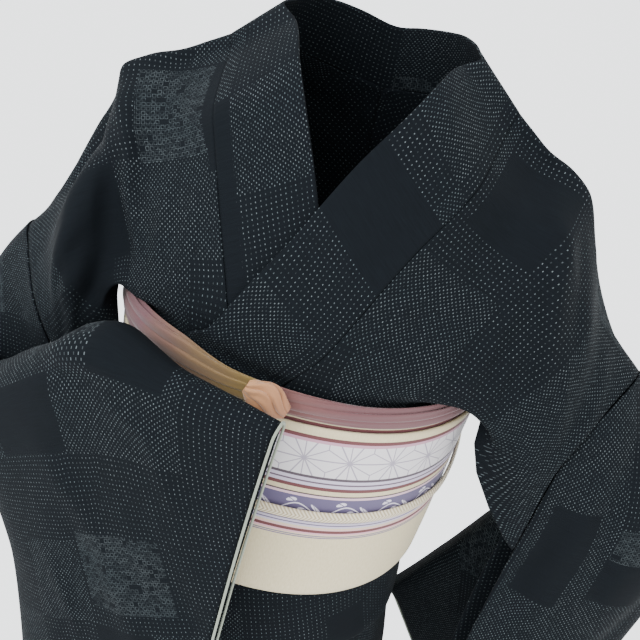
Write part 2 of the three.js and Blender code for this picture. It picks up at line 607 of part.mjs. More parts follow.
// The obi: two turns of one band, laid flat round the waist and meeting behind under the drum knot.
const OBI = [
  { z: OBI_TOP + 6, w: 156.6, f: 137.6, b: 115.1 },
  { z: OBI_TOP, w: 156.1, f: 138.1, b: 115.1 },
  { z: -300, w: 151.6, f: 142.1, b: 115.1 },
  { z: -360, w: 147.1, f: 147.6, b: 116.1 },
  { z: OBI_BOTTOM, w: 144.1, f: 150.6, b: 119.1 },
];
function obiRing(angle, z, lift) {
  const { w, f, b } = readTable(OBI, "z", z);
  const s = Math.sin(degrees(angle));
  const c = Math.cos(degrees(angle));
  const r = 1 / Math.pow(Math.pow(Math.abs(s), 2.2) + Math.pow(Math.abs(c), 2.2), 1 / 2.2);
  return [s * r * (w + lift), -c * r * ((c > 0 ? f : b) + lift), z];
}
function obiWrap(name, top, bottom, lift, levels) {
  const rows = [];
  for (let i = 0; i <= levels; i += 1) {
    const z = mix(top, bottom, i / levels);
    const row = [];
    for (let k = 0; k <= 40; k += 1) row.push(obiRing(mix(-172, 172, k / 40), z, lift));
    rows.push(row);
  }
  wall(name, rows, OBI_CLOTH, obiCloth);
}
obiWrap("obi_wrap_inner", OBI_TOP + 5, OBI_BOTTOM + 3, -OBI_WRAP_STEP, 4);
obiWrap("obi_wrap_outer", OBI_TOP, OBI_BOTTOM, 0, 5);

// The drum knot behind: one length of the obi, up the outside, over the pillow fold at the top, and back
// inside at the bottom.
const DRUM = [
  { y: 118.2, z: -262 },
  { y: 118.6, z: -215 },
  { y: 140, z: -193 },
  { y: 168, z: -186 },
  { y: 194, z: -196 },
  { y: 208, z: -222 },
  { y: 212, z: -270 },
  { y: 209, z: -330 },
  { y: 203, z: -390 },
  { y: 196, z: -440 },
  { y: 186, z: -462 },
  { y: 170, z: -466 },
  { y: 156, z: -452 },
  { y: 150, z: -415 },
  { y: 148, z: -370 },
];
function drum() {
  const rows = [];
  for (let i = 0; i <= 28; i += 1) {
    const [y, z] = along(DRUM.map((place) => [place.y, place.z]), i / 28);
    rows.push([-1, -0.66, -0.33, 0, 0.33, 0.66, 1].map((u) => [150 * u, y - 7 * u * u, z - 3 * u * u]));
  }
  wall("obi_drum", rows, OBI_CLOTH, obiCloth);
}
drum();

// The end of the obi laid through the drum, showing on both sides of it.
const TAIL_HALF = 144;
wall(
  "obi_tail",
  [-1, -0.85, -0.6, -0.2, 0.2, 0.6, 0.85, 1].map((u) =>
    [-285, -310, -335, -360].map((z) => [u * TAIL_HALF, 154 - 40 * Math.pow(Math.abs(u), 4), z]),
  ),
  OBI_CLOTH,
  obiCloth,
);

// The obi scarf: two soft stretches along the top of the obi, tied in a knot in front.
const SCARF = [
  { angle: -150, height: 20 },
  { angle: -90, height: 21 },
  { angle: -62, height: 30 },
  { angle: -30, height: 31 },
  { angle: -10, height: 22 },
  { angle: 10, height: 20 },
  { angle: 45, height: 20 },
  { angle: 90, height: 21 },
  { angle: 150, height: 20 },
];
const SCARF_FOOT = OBI_TOP + 5.6; // just above the inner turn of the obi
function scarfStretch(name, from, to) {
  const path = [];
  const heights = [];
  for (let i = 0; i <= 18; i += 1) {
    const angle = mix(from, to, i / 18);
    const [x, y] = obiRing(angle, OBI_TOP, 0.5);
    heights.push(readTable(SCARF, "angle", angle).height);
    path.push([x, y, SCARF_FOOT + heights[i] / 2]);
  }
  strip(name, path, (i) => heights[i], 7, () => [0, 0, 1], scarf, 10);
}
scarfStretch("obiage_left", 2, 150);
scarfStretch("obiage_right", -2, -150);

function scarfKnot() {
  const path = [];
  for (let i = 0; i <= 8; i += 1) path.push([mix(-15, 19, i / 8), -151.8, mix(-213, -225, i / 8)]);
  const swell = (i) => Math.sin(Math.PI * mix(0.13, 0.87, i / 8));
  strip("obiage_knot", path, (i) => 28 * swell(i), (i) => 19 * swell(i), () => [0, 0, 1], scarf, 12);
}
scarfKnot();

// The flat braided cord round the middle of the obi, tied in front.
const CORD_Z = -319;
const CORD_WIDTH = 10;
const CORD_THICK = 4;
function cordBand() {
  const path = [];
  const out = 1 + SEAM + CORD_THICK / 2;
  for (let i = 0; i < 56; i += 1) {
    const angle = (360 * i) / 56;
    const behind = smooth(80, 100, Math.min(angle, 360 - angle));
    const [x, y, z] = obiRing(angle, CORD_Z, out);
    const s = Math.sin(degrees(angle));
    const c = Math.cos(degrees(angle));
    const r = 1 / Math.pow(Math.pow(Math.abs(s), 5) + Math.pow(Math.abs(c), 5), 0.2);
    path.push([mix(x, s * r * 156, behind), mix(y, -c * r * 157.4, behind), z]);
  }
  strip("obijime_band", path, CORD_WIDTH, CORD_THICK, () => [0, 0, 1], cordSilk, 8, true);
}
cordBand();

export default root;
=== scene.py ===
# %% [markdown]
# # A tsumugi kimono as it is worn
# The garment stands in the form that it takes on a body: left front over right, the obi laid in two
# turns, both arms bent. Every panel is a grid of points. The grid follows the same sizes as the solid
# parts, so a fine panel here lies on its plain solid. All sizes in the tables are millimetres, and they
# turn into metres only where a mesh is made.

import math

import bpy
import numpy as np
from mathutils import Matrix, Vector


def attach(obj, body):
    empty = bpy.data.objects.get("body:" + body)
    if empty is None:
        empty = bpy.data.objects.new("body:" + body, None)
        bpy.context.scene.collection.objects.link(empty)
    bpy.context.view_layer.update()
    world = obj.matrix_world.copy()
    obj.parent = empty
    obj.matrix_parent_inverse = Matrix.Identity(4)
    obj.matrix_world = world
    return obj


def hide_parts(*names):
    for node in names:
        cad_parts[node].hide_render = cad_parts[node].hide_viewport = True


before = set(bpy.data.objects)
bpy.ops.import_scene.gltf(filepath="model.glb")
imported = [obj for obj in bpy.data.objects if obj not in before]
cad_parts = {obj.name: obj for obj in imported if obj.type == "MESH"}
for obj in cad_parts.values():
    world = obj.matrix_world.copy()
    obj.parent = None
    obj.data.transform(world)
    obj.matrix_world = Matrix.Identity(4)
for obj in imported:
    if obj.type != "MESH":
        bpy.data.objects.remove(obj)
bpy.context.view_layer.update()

# %% [markdown]
# ## Curves
# A garment is drawn from a few measured rows. A table holds them, and a curve runs through its column.
# A plain spline swings past a value where rows are close together, which would push one layer of cloth
# through the next. The curve here keeps every value between its neighbours: the slope at a row is the
# harmonic mean of the slopes on its two sides, and is level where the values turn back.

# %% Curves
def table(names, *rows):
    columns = zip(*rows)
    return {name: np.array(column, float) for name, column in zip(names.split(), columns)}


def curve(keys, values, at):
    """Values at new keys, on a curve through the given ones that never overshoots."""
    keys, values = np.asarray(keys, float), np.asarray(values, float)
    if keys[-1] < keys[0]:
        keys, values = keys[::-1], values[::-1]
    at = np.clip(np.asarray(at, float), keys[0], keys[-1])
    i = np.clip(np.searchsorted(keys, at, side="right") - 1, 0, len(keys) - 2)
    steps = np.diff(keys)
    slopes = np.diff(values) / steps
    product = slopes[:-1] * slopes[1:]
    total = np.where(product > 0, slopes[:-1] + slopes[1:], 1)
    inner = np.where(product > 0, 2 * product / total, 0)
    m = np.concatenate([slopes[:1], inner, slopes[-1:]])
    t = (at - keys[i]) / steps[i]
    t2, t3 = t * t, t * t * t
    return (
        (2 * t3 - 3 * t2 + 1) * values[i]
        + (t3 - 2 * t2 + t) * steps[i] * m[i]
        + (3 * t2 - 2 * t3) * values[i + 1]
        + (t3 - t2) * steps[i] * m[i + 1]
    )


def read(rows, key, at):
    return {name: curve(rows[key], column, at) for name, column in rows.items()}


def smooth(a, b, t):
    s = np.clip((np.asarray(t, float) - a) / (b - a), 0, 1)
    return s * s * (3 - 2 * s)


def mix(a, b, t):
    return a + (b - a) * t


def along(points, t):
    """A point on the smooth curve through points, for t from 0 to 1."""
    points = np.asarray(points, float)
    place = min(max(t, 0), 1) * (len(points) - 1)
    i = min(len(points) - 2, int(place))
    a, b = points[max(0, i - 1)], points[i]
    c, d = points[i + 1], points[min(len(points) - 1, i + 2)]
    f = place - i
    return 0.5 * (
        2 * b + (c - a) * f + (2 * a - 5 * b + 4 * c - d) * f**2 + (3 * b - a - 3 * c + d) * f**3
    )


print("curve check:", curve([0, 1, 2], [0, 1, 0], [0.5, 1, 1.5]))

# %% [markdown]
# ## Grids of cloth
# One panel is one grid of rows and columns, as woven cloth is. The rows that the tables give are too far
# apart for a soft look, so `refine` puts more between them, first down and then across. Shell meshes need
# a thickness: a Solidify modifier gives it, half on each side of the grid. The map coordinates are real
# cloth coordinates in metres, so a woven pattern keeps its size.

# %% Grids of cloth
def spread(line, parts):
    """More points on one line of points, with the given number of parts for each old step."""
    steps = np.linalg.norm(np.diff(line, axis=0), axis=1)
    s = np.concatenate([[0], np.cumsum(np.maximum(steps, 1e-4))])
    fine = np.concatenate([np.linspace(a, b, parts, endpoint=False) for a, b in zip(s, s[1:])] + [s[-1:]])
    return np.stack([curve(s, line[:, k], fine) for k in range(3)], axis=1)


def refine(grid, down, across):
    grid = np.asarray(grid, float)
    grid = np.stack([spread(grid[:, j], down) for j in range(grid.shape[1])], axis=1)
    return np.stack([spread(row, across) for row in grid], axis=0)


def lengths(grid, axis):
    """Distance along the grid from its first row or column, in metres."""
    steps = np.linalg.norm(np.diff(grid, axis=axis), axis=2) / 1000
    zero = np.zeros_like(np.take(steps, [0], axis=axis))
    return np.concatenate([zero, np.cumsum(steps, axis=axis)], axis=axis)


print("refined grid:", refine(np.zeros((3, 4, 3)), 4, 5).shape)

# %% [markdown]
# ## Flat cloth
# The woven rows have to run straight on the cloth. Lengths along the rows and columns are enough for a
# band, but on a rounded panel they bend the rows. So `unrolled` lays such a panel flat first, as a cutter
# would, and `banded` measures a long band. Blender's own unwrap would flatten it too, but it doesn't say
# which way the warp runs.

# %% Flat cloth
def unrolled(grid, down, across, line, rounds=120):
    """Flat cloth coordinates of a curved grid, in metres.

    Each small triangle is turned as a whole to fit its neighbours, over and over, so that sizes and angles
    stay as they are on the curved cloth. line gives two grid places that the warp runs between.
    """
    small = grid[::down, ::across] / 1000
    high, wide = small.shape[:2]
    number = np.arange(high * wide).reshape(high, wide)
    corners = (number[:-1, :-1], number[1:, :-1], number[1:, 1:], number[:-1, 1:])
    a, b, c, d = (part.ravel() for part in corners)
    halves = ((a, b, c), (a, c, d), (a, b, d), (b, c, d))
    faces = np.concatenate([np.stack(three, axis=1) for three in halves])
    corner = small.reshape(-1, 3)[faces]
    first, second = corner[:, 1] - corner[:, 0], corner[:, 2] - corner[:, 0]
    length = np.linalg.norm(first, axis=1)
    run = (first * second).sum(axis=1) / length
    rise = np.sqrt(np.maximum((second**2).sum(axis=1) - run**2, 0))
    shape = np.stack([0 * run, length, run - 1j * rise], axis=1)
    total = np.eye(high * wide) * 1e-9
    for i, j in ((0, 1), (1, 2), (2, 0)):
        np.add.at(total, (faces[:, i], faces[:, i]), 1)
        np.add.at(total, (faces[:, j], faces[:, j]), 1)
        np.add.at(total, (faces[:, i], faces[:, j]), -1)
        np.add.at(total, (faces[:, j], faces[:, i]), -1)
    solved = np.linalg.inv(total + 1 / len(total))
    flat = (lengths(grid, 1) + 1j * lengths(grid, 0))[::down, ::across].ravel()
    for _ in range(rounds):
        turned = flat[faces]
        turn = 0
        for i, j in ((0, 1), (1, 2), (2, 0)):
            turn = turn + np.conj(shape[:, i] - shape[:, j]) * (turned[:, i] - turned[:, j])
        turn = turn / np.abs(turn)
        pull = np.zeros(len(flat), complex)
        for i, j in ((0, 1), (1, 2), (2, 0)):
            edge = turn * (shape[:, i] - shape[:, j])
            np.add.at(pull, faces[:, i], edge)
            np.add.at(pull, faces[:, j], -edge)
        flat = solved @ pull
    flat = flat.reshape(high, wide)
    start, end = (flat[i // down, j // across] for i, j in line)
    flat = (flat - start) * 1j / ((end - start) / abs(end - start))
    rows, columns = np.arange(grid.shape[0]) / down, np.arange(grid.shape[1]) / across
    tall = np.array([np.interp(rows, np.arange(high), column) for column in flat.T]).T
    full = np.array([np.interp(columns, np.arange(wide), row) for row in tall])
    return full.real, full.imag


def banded(grid):
    """Coordinates of a long band: across from its first column, and along by its middle line."""
    middle = lengths(grid, 0)[:, grid.shape[1] // 2]
    return lengths(grid, 1), middle[:, None] + 0 * grid[:, :, 0]


print("band across and along:", [round(float(part.max()), 3) for part in banded(np.ones((3, 3, 3)))])

# %% [markdown]
# ## One panel
# A panel becomes a mesh with one face in each cell of its grid. The mesh has no thickness yet. A Solidify
# modifier adds it on both sides of the grid, so that the panel's size stays the size of the grid.

# %% One panel
def normals(grid):
    down = np.gradient(grid, axis=0)
    right = np.gradient(grid, axis=1)
    n = np.cross(down, right)
    return n / np.maximum(np.linalg.norm(n, axis=2, keepdims=True), 1e-9)


def piece(name, grid, thickness, material, replaces, uv=None, loop=False):
    """Makes a panel of cloth from a grid in millimetres. With loop, its last column lies on its first."""
    high, wide = grid.shape[:2]
    kept = wide - 1 if loop else wide
    u, v = (lengths(grid, 1), lengths(grid, 0)) if uv is None else uv
    points = (grid[:, :kept] / 1000).reshape(-1, 3)
    i, j = np.meshgrid(np.arange(high - 1), np.arange(wide - 1), indexing="ij")
    i, j = i.ravel(), j.ravel()
    corners = [(i, j), (i + 1, j), (i + 1, j + 1), (i, j + 1)]
    faces = np.stack([a * kept + b % kept for a, b in corners], axis=1)
    mesh = bpy.data.meshes.new(name)
    mesh.from_pydata(points.tolist(), [], faces.tolist())
    coordinates = np.stack([np.stack([u[a, b], v[a, b]], axis=1) for a, b in corners], axis=1)
    mesh.uv_layers.new(name="cloth").data.foreach_set("uv", coordinates.ravel().astype(np.float32))
    mesh.polygons.foreach_set("use_smooth", [True] * len(faces))
    made = bpy.data.objects.new(name, mesh)
    bpy.context.scene.collection.objects.link(made)
    if thickness:
        shell = made.modifiers.new("thickness", "SOLIDIFY")
        shell.thickness = thickness / 1000
        shell.offset = 0
    mesh.materials.append(material)
    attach(made, "root")
    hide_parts(*replaces)
    print(f"{name}: {len(faces)} faces, {u.max():.2f} by {v.max() - v.min():.2f} m of cloth")
    return made


# %% [markdown]
# ## Sizes
# The sizes that the cloth is cut and tied to. A kimono is one size for many wearers: its length is taken
# up in a fold at the waist, and the obi hides the tie that holds the fold.

# %% Sizes
CLOTH = 1.4
SEAM = 0.3
OBI_TOP = -240
OBI_HEIGHT = 160
OBI_BOTTOM = OBI_TOP - OBI_HEIGHT
OBI_CLOTH = 1.9
INNER_CLOTH = 1.8
OBI_WRAP_STEP = 2.7
TUCK_EDGE = -470
TUCK_TOP = -408
HEM = -1320
SLEEVE_HEIGHT = 490
ARMHOLE = 230
ARMHOLE_DROP = {1: 185, -1: 155}
ARMHOLE_END = 0.7
OVERLAP = 4.0
SUNK = -1.0
COLLAR_WIDTH = 75
ROUND = 2.2
print("obi from", OBI_TOP, "down to", OBI_BOTTOM, "and hem at", HEM)

# %% [markdown]
# ## Rings round the body
# The garment below the chest is a ring at each height, wider than deep, and flatter than a circle. The
# waist fold is cloth that goes down, turns and comes back up behind itself, so its rows repeat heights and
# move inwards. A plain cylinder would be quicker, but it has no waist and no fold.

# %% Rings round the body
TRUNK = table(
    "z w f b",
    (20, 146, 74, 80),
    (-60, 152, 92, 96),
    (-120, 158, 116, 104),
    (-180, 160, 136, 110),
    (-198, 154, 134, 110),
    (-212, 147, 127.5, 106),
    (-240, 147, 127.5, 106),
    (-300, 142, 132, 106),
    (-400, 135, 141, 110),
    (-470, 141, 146, 118),
    (-520, 148, 146, 130),
    (-600, 158, 146, 146),
    (-800, 156, 140, 138),
    (-1050, 150, 130, 126),
    (-1320, 144, 124, 120),
)
WAIST_FOLD = table(
    "z lift",
    (-226, 0),
    (OBI_TOP, 0),
    (-262, 0),
    (-300, 0),
    (-345, 0),
    (-388, 0),
    (-410, 0),
    (-440, 0),
    (TUCK_EDGE + 4, 0),
    (TUCK_EDGE, -1.7),
    (TUCK_EDGE + 4, -3.4),
    (-440, -3.4),
    (TUCK_TOP - 4, -3.4),
    (TUCK_TOP, -5.1),
    (TUCK_TOP - 4, -6.8),
    (-440, -6.8),
    (-470, -6.8),
    (-520, -6.4),
    (-600, -5),
    (-700, -3),
    (-850, -1),
    (-1000, 0),
    (-1160, 0),
    (HEM, 0),
)
WAIST_LINE = table(
    "angle z",
    (-180, -206),
    (-90, -209),
    (-60, -206),
    (-32, -203),
    (-10, -213),
    (0, -215),
    (30, -218),
    (60, -214),
    (90, -209),
    (180, -206),
)
INNER_EDGE = table(
    "z angle under",
    (-214, 4, 4),
    (-226, 2, 2),
    (OBI_TOP, 0.1, 0.1),
    (-300, 0.1, -3),
    (HEM, 0.1, -3),
)


def ring(angle, z, lift=0):
    """Points round the body. The angle is 0 in front and 90 at the wearer's left side."""
    size = read(TRUNK, "z", z)
    s, c = np.sin(np.radians(angle)), np.cos(np.radians(angle))
    depth = np.where(c > 0, size["f"], size["b"])
    r = (np.abs(s) ** ROUND + np.abs(c) ** ROUND) ** (-1 / ROUND)
    return np.stack([s * r * (size["w"] + lift), -c * r * (depth + lift), z + 0 * s], axis=-1)


def chest(x, z, lift=0):
    size = read(TRUNK, "z", z)
    share = min(0.98, abs(x) / (size["w"] + lift))
    return np.array([x, -(size["f"] + lift) * (1 - share**ROUND) ** (1 / ROUND), z])


def over_lift(angle):
    return OVERLAP * smooth(-112, -100, angle) * (1 - smooth(66, 86, angle))


def under_dive(angle, z):
    return -6.5 * smooth(-390, -408, z) * (1 - smooth(-480, -580, z)) * smooth(-86, -66, angle)


def waist_z(angle):
    return curve(WAIST_LINE["angle"], WAIST_LINE["z"], angle)


girth = np.linalg.norm(np.diff(ring(np.arange(361), -200), axis=0), axis=1).sum()
print("chest girth at the fold:", round(girth), "mm")

# %% [markdown]
# ## Sleeves
# A kimono sleeve is a flat bag with its top on a fold. Worn on a bent arm it is a curved tent: the fold
# runs along the arm, and the cloth falls below it in two layers that close on each other. Each row of a
# table is one place along the arm, with the way that the arm runs there, how far the layers part, and how
# far the bottom hangs from under the fold. An armature with cloth simulation would drape it too, but the
# listed rows keep the outline where it is seen.

# %% Sleeves
RIGHT_SLEEVE = table(
    "x y z heading hang arm mid low inner drop swayX swayY",
    (-262, 0, -218, 194, 262, 50, 18, 8, 1, 1, 84, -50),
    (-286, -6, -262, 216, 285, 46, 20, 9, 0.8, 1, 124, -60),
    (-298, -38, -316, 262, 288, 42, 22, 10, 0.5, 1, 148, -56),
    (-254, -86, -312, 312, 312, 36, 24, 12, 0.6, 1, 106, -30),
    (-176, -132, -246, 333, 333, 32, 24, 12, 0.9, 1, 54, -14),
    (-118, -154, -196, 340, 340, 27, 20, 10, 1, 1, 30, -6),
    (-56, -172, -208, 346, 346, 19, 13, 6, 1, 1, 8, -6),
    (20, -186, -211, 350, 350, 9, 6, 1.2, 1, 1, -12, -6),
)
LEFT_SLEEVE = table(
    "x y z heading hang arm mid low inner drop swayX swayY",
    (275, 0, -186, -16, 8, 52, 22, 8, 1, 1, -66, -46),
    (316, 4, -252, 10, 30, 50, 28, 10, 1, 1, -40, -38),
    (338, 24, -325, 66, 72, 44, 28, 12, 0.4, 1, -18, -12),
    (300, 50, -356, 130, 130, 40, 28, 12, 0.4, 0.98, 14, 12),
    (222, 56, -388, 156, 150, 36, 24, 8, 0.9, 0.96, 50, 22),
    (185, 72, -464, 150, 150, 26, 18, 6, 1, 0.9, 76, 22),
    (146, 98, -556, 144, 150, 14, 9, 1.2, 1, 0.78, 104, 8),
)
SLEEVE_FOOT = ((6, -0.8), (3, 0), (6, 0.8))
SLEEVE_DOWN = np.array([0, 12, 30, 55, 80, 102, 121.6, 155, 185, 235, 290, 360, 430, 476], float)

for rows in (RIGHT_SLEEVE, LEFT_SLEEVE):
    fold = np.stack([rows["x"], rows["y"], rows["z"]], axis=1)
    run = np.concatenate([[0], np.cumsum(np.linalg.norm(np.diff(fold, axis=0), axis=1))])
    rows["s"] = run / run[-1]


def sleeve_point(rows, s, h, side):
    """A point with s from seam to cuff, h down the cloth from the fold, side 1 for the front layer."""
    row = read(rows, "s", s)
    hand = -1 if rows is LEFT_SLEEVE else 1
    facing = math.radians(mix(row["heading"], row["hang"], smooth(50, 260, h)) + 90 * hand)
    rounding = math.sqrt(max(0, 1 - (1 - min(1, h / (row["arm"] * 1.5))) ** 2))
    below_arm = mix(row["arm"], row["mid"], smooth(row["arm"] * 1.2, ARMHOLE, h))
    below_hole = mix(row["mid"], row["low"], smooth(ARMHOLE, SLEEVE_HEIGHT, h))
    gap = (below_arm if h < ARMHOLE else below_hole) * rounding * (row["inner"] if side * hand > 0 else 1)
    fall = 1 - (1 - h / SLEEVE_HEIGHT) ** 3.2
    sunk = row["arm"] * 0.45 * min(1, h / (row["arm"] * 1.5))
    return np.array([
        row["x"] + row["swayX"] * fall + math.cos(facing) * gap * side,
        row["y"] + row["swayY"] * fall + math.sin(facing) * gap * side,
        row["z"] - h * mix(1, row["drop"], smooth(0, 200, h)) + sunk,
    ])


def sleeve_ring(rows, s):
    ring_points = [sleeve_point(rows, s, h, 1) for h in SLEEVE_DOWN[:0:-1]]
    ring_points += [sleeve_point(rows, s, h, -1) for h in SLEEVE_DOWN]
    ring_points += [sleeve_point(rows, s, SLEEVE_HEIGHT - up, side) for up, side in SLEEVE_FOOT]
    return ring_points + ring_points[:1]


def sleeve_grid(rows, stations=18):
    return np.array([sleeve_ring(rows, i / stations) for i in range(stations + 1)])


print("sleeve grid:", sleeve_grid(RIGHT_SLEEVE).shape)

# %% [markdown]
# ## Body strips
# The body is two strips, each one width of cloth that runs from the front hem over the shoulder to the
# back hem with no shoulder seam. The rows of a front table are levels from the shoulder down to the obi.
# Across a level run the collar seam, the breast, the hollow beside the arm, and the cloth over the arm.

# %% Body strips
LEFT_FRONT = table(
    "level cx cz bx bz px py pz ax ay az",
    (0, 116, -6, 148, -29, 188, 0, -52, 222, 0, -134),
    (0.22, 103, -48, 138, -66, 180, -58, -84, 218, -48, -138),
    (0.48, 74, -98, 128, -118, 176, -76, -140, 214, -80, -186),
    (0.7, 46, -154, 112, -166, 170, -86, -196, 202, -84, -248),
    (0.78, 37, -172, 105, -180, 161, -90, -210, 186, -86, -250),
    (0.86, 28, -188, 92, -191, 143, -94, -212, 167, -66, -232),
    (0.93, 18, -202, 79, -202, 129, -98, -208, 159, -54, -207),
)
RIGHT_FRONT = table(
    "level cx cz bx bz px py pz ax ay az",
    (0, -112, -8, -150, -32, -198, 2, -60, -200, 0, -134),
    (0.22, -98, -44, -140, -66, -174, -50, -92, -204, -56, -146),
    (0.48, -76, -98, -126, -118, -161, -64, -150, -190, -92, -186),
    (0.7, -52, -150, -108, -158, -150, -74, -180, -178, -92, -226),
    (0.76, -46, -164, -102, -167, -148, -80, -188, -173, -88, -238),
    (0.82, -39, -177, -94, -174, -143, -88, -196, -155, -84, -226),
    (0.88, -31, -188, -85, -182, -137, -92, -198, -155, -66, -209),
    (0.94, -20, -202, -76, -192, -129, -95, -200, -155, -50, -200),
)
BACK = table(
    "level cx cy cz bx by bz px py pz ax ay az",
    (0, 114, 2, -7, 148, 2, -30, 192, 2, -56, 220, 0, -138),
    (0.16, 92, 52, -18, 128, 42, -34, 178, 40, -66, 228, 38, -140),
    (0.32, 52, 92, -36, 98, 84, -56, 162, 72, -98, 226, 56, -168),
    (0.46, 0.02, 106, -48, 86, 100, -86, 156, 82, -132, 218, 58, -200),
    (0.7, 0.02, 113, -130, 80, 110, -140, 150, 82, -186, 200, 36, -244),
    (0.85, 0.02, 112, -176, 78, 106, -180, 148, 68, -196, 174, 28, -220),
    (0.94, 0.02, 110, -196, 76, 100, -196, 142, 56, -196, 160, 22, -200),
)
SLITS = {
    (1, 1): [[187, -76, -288], [162, -68, -254], [158, -48, -228], [160, -14, -207]],
    (1, -1): [[206, -4, -300], [182, 12, -252], [168, 16, -222], [161, 5, -205]],
    (-1, 1): [[-163, -68, -304], [-142, -76, -252], [-157, -51, -222], [-159.5, -20, -211]],
    (-1, -1): [[-206, -2, -296], [-182, 12, -252], [-168, 16, -222], [-161, 5, -205]],
}
ACROSS = [0, 0.12, 0.25, 0.38, 0.5, 0.62, 0.75, 0.88, 1]
SLEEVES = {1: LEFT_SLEEVE, -1: RIGHT_SLEEVE}
FRONTS = {1: LEFT_FRONT, -1: RIGHT_FRONT}
LOW_ROWS = {1: [0.82, 0.93], -1: [0.76, 0.82, 0.88, 0.94]}
print("front rows:", [len(rows["level"]) for rows in FRONTS.values()])

# %% [markdown]
# ## Levels of a strip
# A level is one line across the strip, drawn as a smooth curve through five places. The outermost place
# is taken from the sleeve, so that the armhole seam of both pieces is one line. Below the armhole the edge
# leaves the sleeve and runs back along the open slit to the side seam.

# %% Levels of a strip
def outer_edge(hand, level, side):
    """Down the armhole, then back along the open slit to the side seam."""
    out = hand * (SEAM + CLOTH)
    drop = ARMHOLE_DROP[hand]
    if level <= ARMHOLE_END:
        return sleeve_point(SLEEVES[hand], 0, drop * level / ARMHOLE_END, side) - [out, 0, 0]
    angle = hand * (89.8 if side > 0 else 90.2)
    line = [sleeve_point(SLEEVES[hand], 0, drop, side) - [out, 0, 0], *SLITS[hand, side]]
    line.append(ring(angle, waist_z(angle) + 3))
    return along(line, (level - ARMHOLE_END) / (1 - ARMHOLE_END))


def front_level(hand, level, lift):
    row = read(FRONTS[hand], "level", level)
    raised = lift * smooth(0, 0.3, level)
    line = [
        chest(row["cx"], row["cz"], raised),
        chest(row["bx"], row["bz"], raised),
        [row["px"], row["py"], row["pz"]],
        [row["ax"], row["ay"], row["az"]],
        outer_edge(hand, level, 1),
    ]
    neck = 1 - smooth(0, 0.25, level)
    line[0][1] = mix(line[0][1], 0, neck)
    line[1][1] = mix(line[1][1], 0, neck)
    return np.array([along(line, u) for u in ACROSS])


def back_level(hand, level):
    row = read(BACK, "level", level)
    line = [[hand * row[k + "x"], row[k + "y"], row[k + "z"]] for k in "cbpa"]
    line.append(outer_edge(hand, level, -1))
    return np.array([along(line, u) for u in ACROSS])


def armhole_levels(hand):
    drop = ARMHOLE_DROP[hand]
    return [h / drop * ARMHOLE_END for h in SLEEVE_DOWN if 0 < h <= drop]


def front_levels(hand):
    return [*armhole_levels(hand), *LOW_ROWS[hand]]


def back_levels(hand):
    return [*armhole_levels(hand), *LOW_ROWS[1]]


print("levels:", len(front_levels(1)), "and", len(front_levels(-1)))

# %% [markdown]
# ## The whole strip
# The strip is read off in the order in which the cloth lies: up the skirt, through the waist fold, up the
# front, over the shoulder, and down the back to the hem. The left strip lies over the right one, so it is
# lifted in front, and the right one dives under it.

# %% The whole strip
def strip_angle(z, back, over):
    inner = 0.01 if back else curve(INNER_EDGE["z"], INNER_EDGE["angle" if over else "under"], z)
    return mix(inner, 89.8, np.array(ACROSS) ** 0.92)


def body_grid(hand):
    """The whole strip, from the front hem up over the shoulder and down the back."""
    over = hand > 0
    folds = list(zip(WAIST_FOLD["z"], WAIST_FOLD["lift"]))
    rows = []
    for z, lift in reversed(folds):
        angle = hand * strip_angle(z, False, over)
        rows.append(ring(angle, z, lift + (over_lift(angle) if over else under_dive(angle, z))))
    angle = hand * strip_angle(-214, False, over)
    rows.append(ring(angle, waist_z(angle), over_lift(angle) if over else 0))
    rows += [front_level(hand, level, OVERLAP if over else SUNK) for level in reversed(front_levels(hand))]
    shoulder = len(rows)
    rows.append(front_level(hand, 0, 0))
    rows += [back_level(hand, level) for level in back_levels(hand)]
    angle = hand * (180 - strip_angle(-214, True, over))
    rows.append(ring(angle, waist_z(angle)))
    rows += [ring(hand * (180 - strip_angle(z, True, over)), z, lift) for z, lift in folds]
    return np.array(rows), shoulder


print("body grid:", body_grid(1)[0].shape)

# %% [markdown]
# ## Overlap panels and collar
# Each front has a narrow overlap panel from the obi down to the hem, and one long band, folded double,
# runs from one front edge round the neck to the other. The band lies on the chest in front and stands
# away from the neck behind.

# %% Overlap panels and collar
OVERLAP_EDGE = table(
    "z angle",
    (-262, 4),
    (-300, 12),
    (-400, 28),
    (-470, 34),
    (-600, 48),
    (-850, 58),
    (-1320, 60),
)
COLLAR_BEHIND = table(
    "level ix iy iz",
    (0, 78, 6, 25),
    (0.16, 66, 46, 26),
    (0.32, 38, 78, 20),
    (0.46, 0, 94, 10),
)
COLLAR_SLOPE = table(
    "level slope",
    (0, 40),
    (0.7, 40),
    (0.78, 32),
    (0.86, 22),
    (0.93, 12),
)
COLLAR_ACROSS = (0, 0.33, 0.67, 1)
COLLAR_LOW = (-214, -226, -240, -262, -300, -345, -388, -410, -440, TUCK_EDGE + 4)
COLLAR_TURN = -250


def overlap_grid(hand):
    over = hand > 0
    rows = []
    for z, lift in list(zip(WAIST_FOLD["z"], WAIST_FOLD["lift"]))[2:]:
        edge = curve(OVERLAP_EDGE["z"], OVERLAP_EDGE["angle"], z)
        seam = 0.1 if over else 0.2 - curve(INNER_EDGE["z"], INNER_EDGE["under"], z)
        angle = -hand * mix(seam, edge, np.array([0, 0.25, 0.5, 0.75, 1]))
        rows.append(ring(angle, z, lift + (over_lift(angle) if over else under_dive(angle, z))))
    return np.array(rows)


print("overlap grid:", overlap_grid(1).shape)

# %% [markdown]
# ## The collar band
# Each row of the band goes from the front's edge to the free edge. Round the neck the band stands up, on
# the chest it lies flat, and under the obi it follows the ring of the body beside the overlap panel.

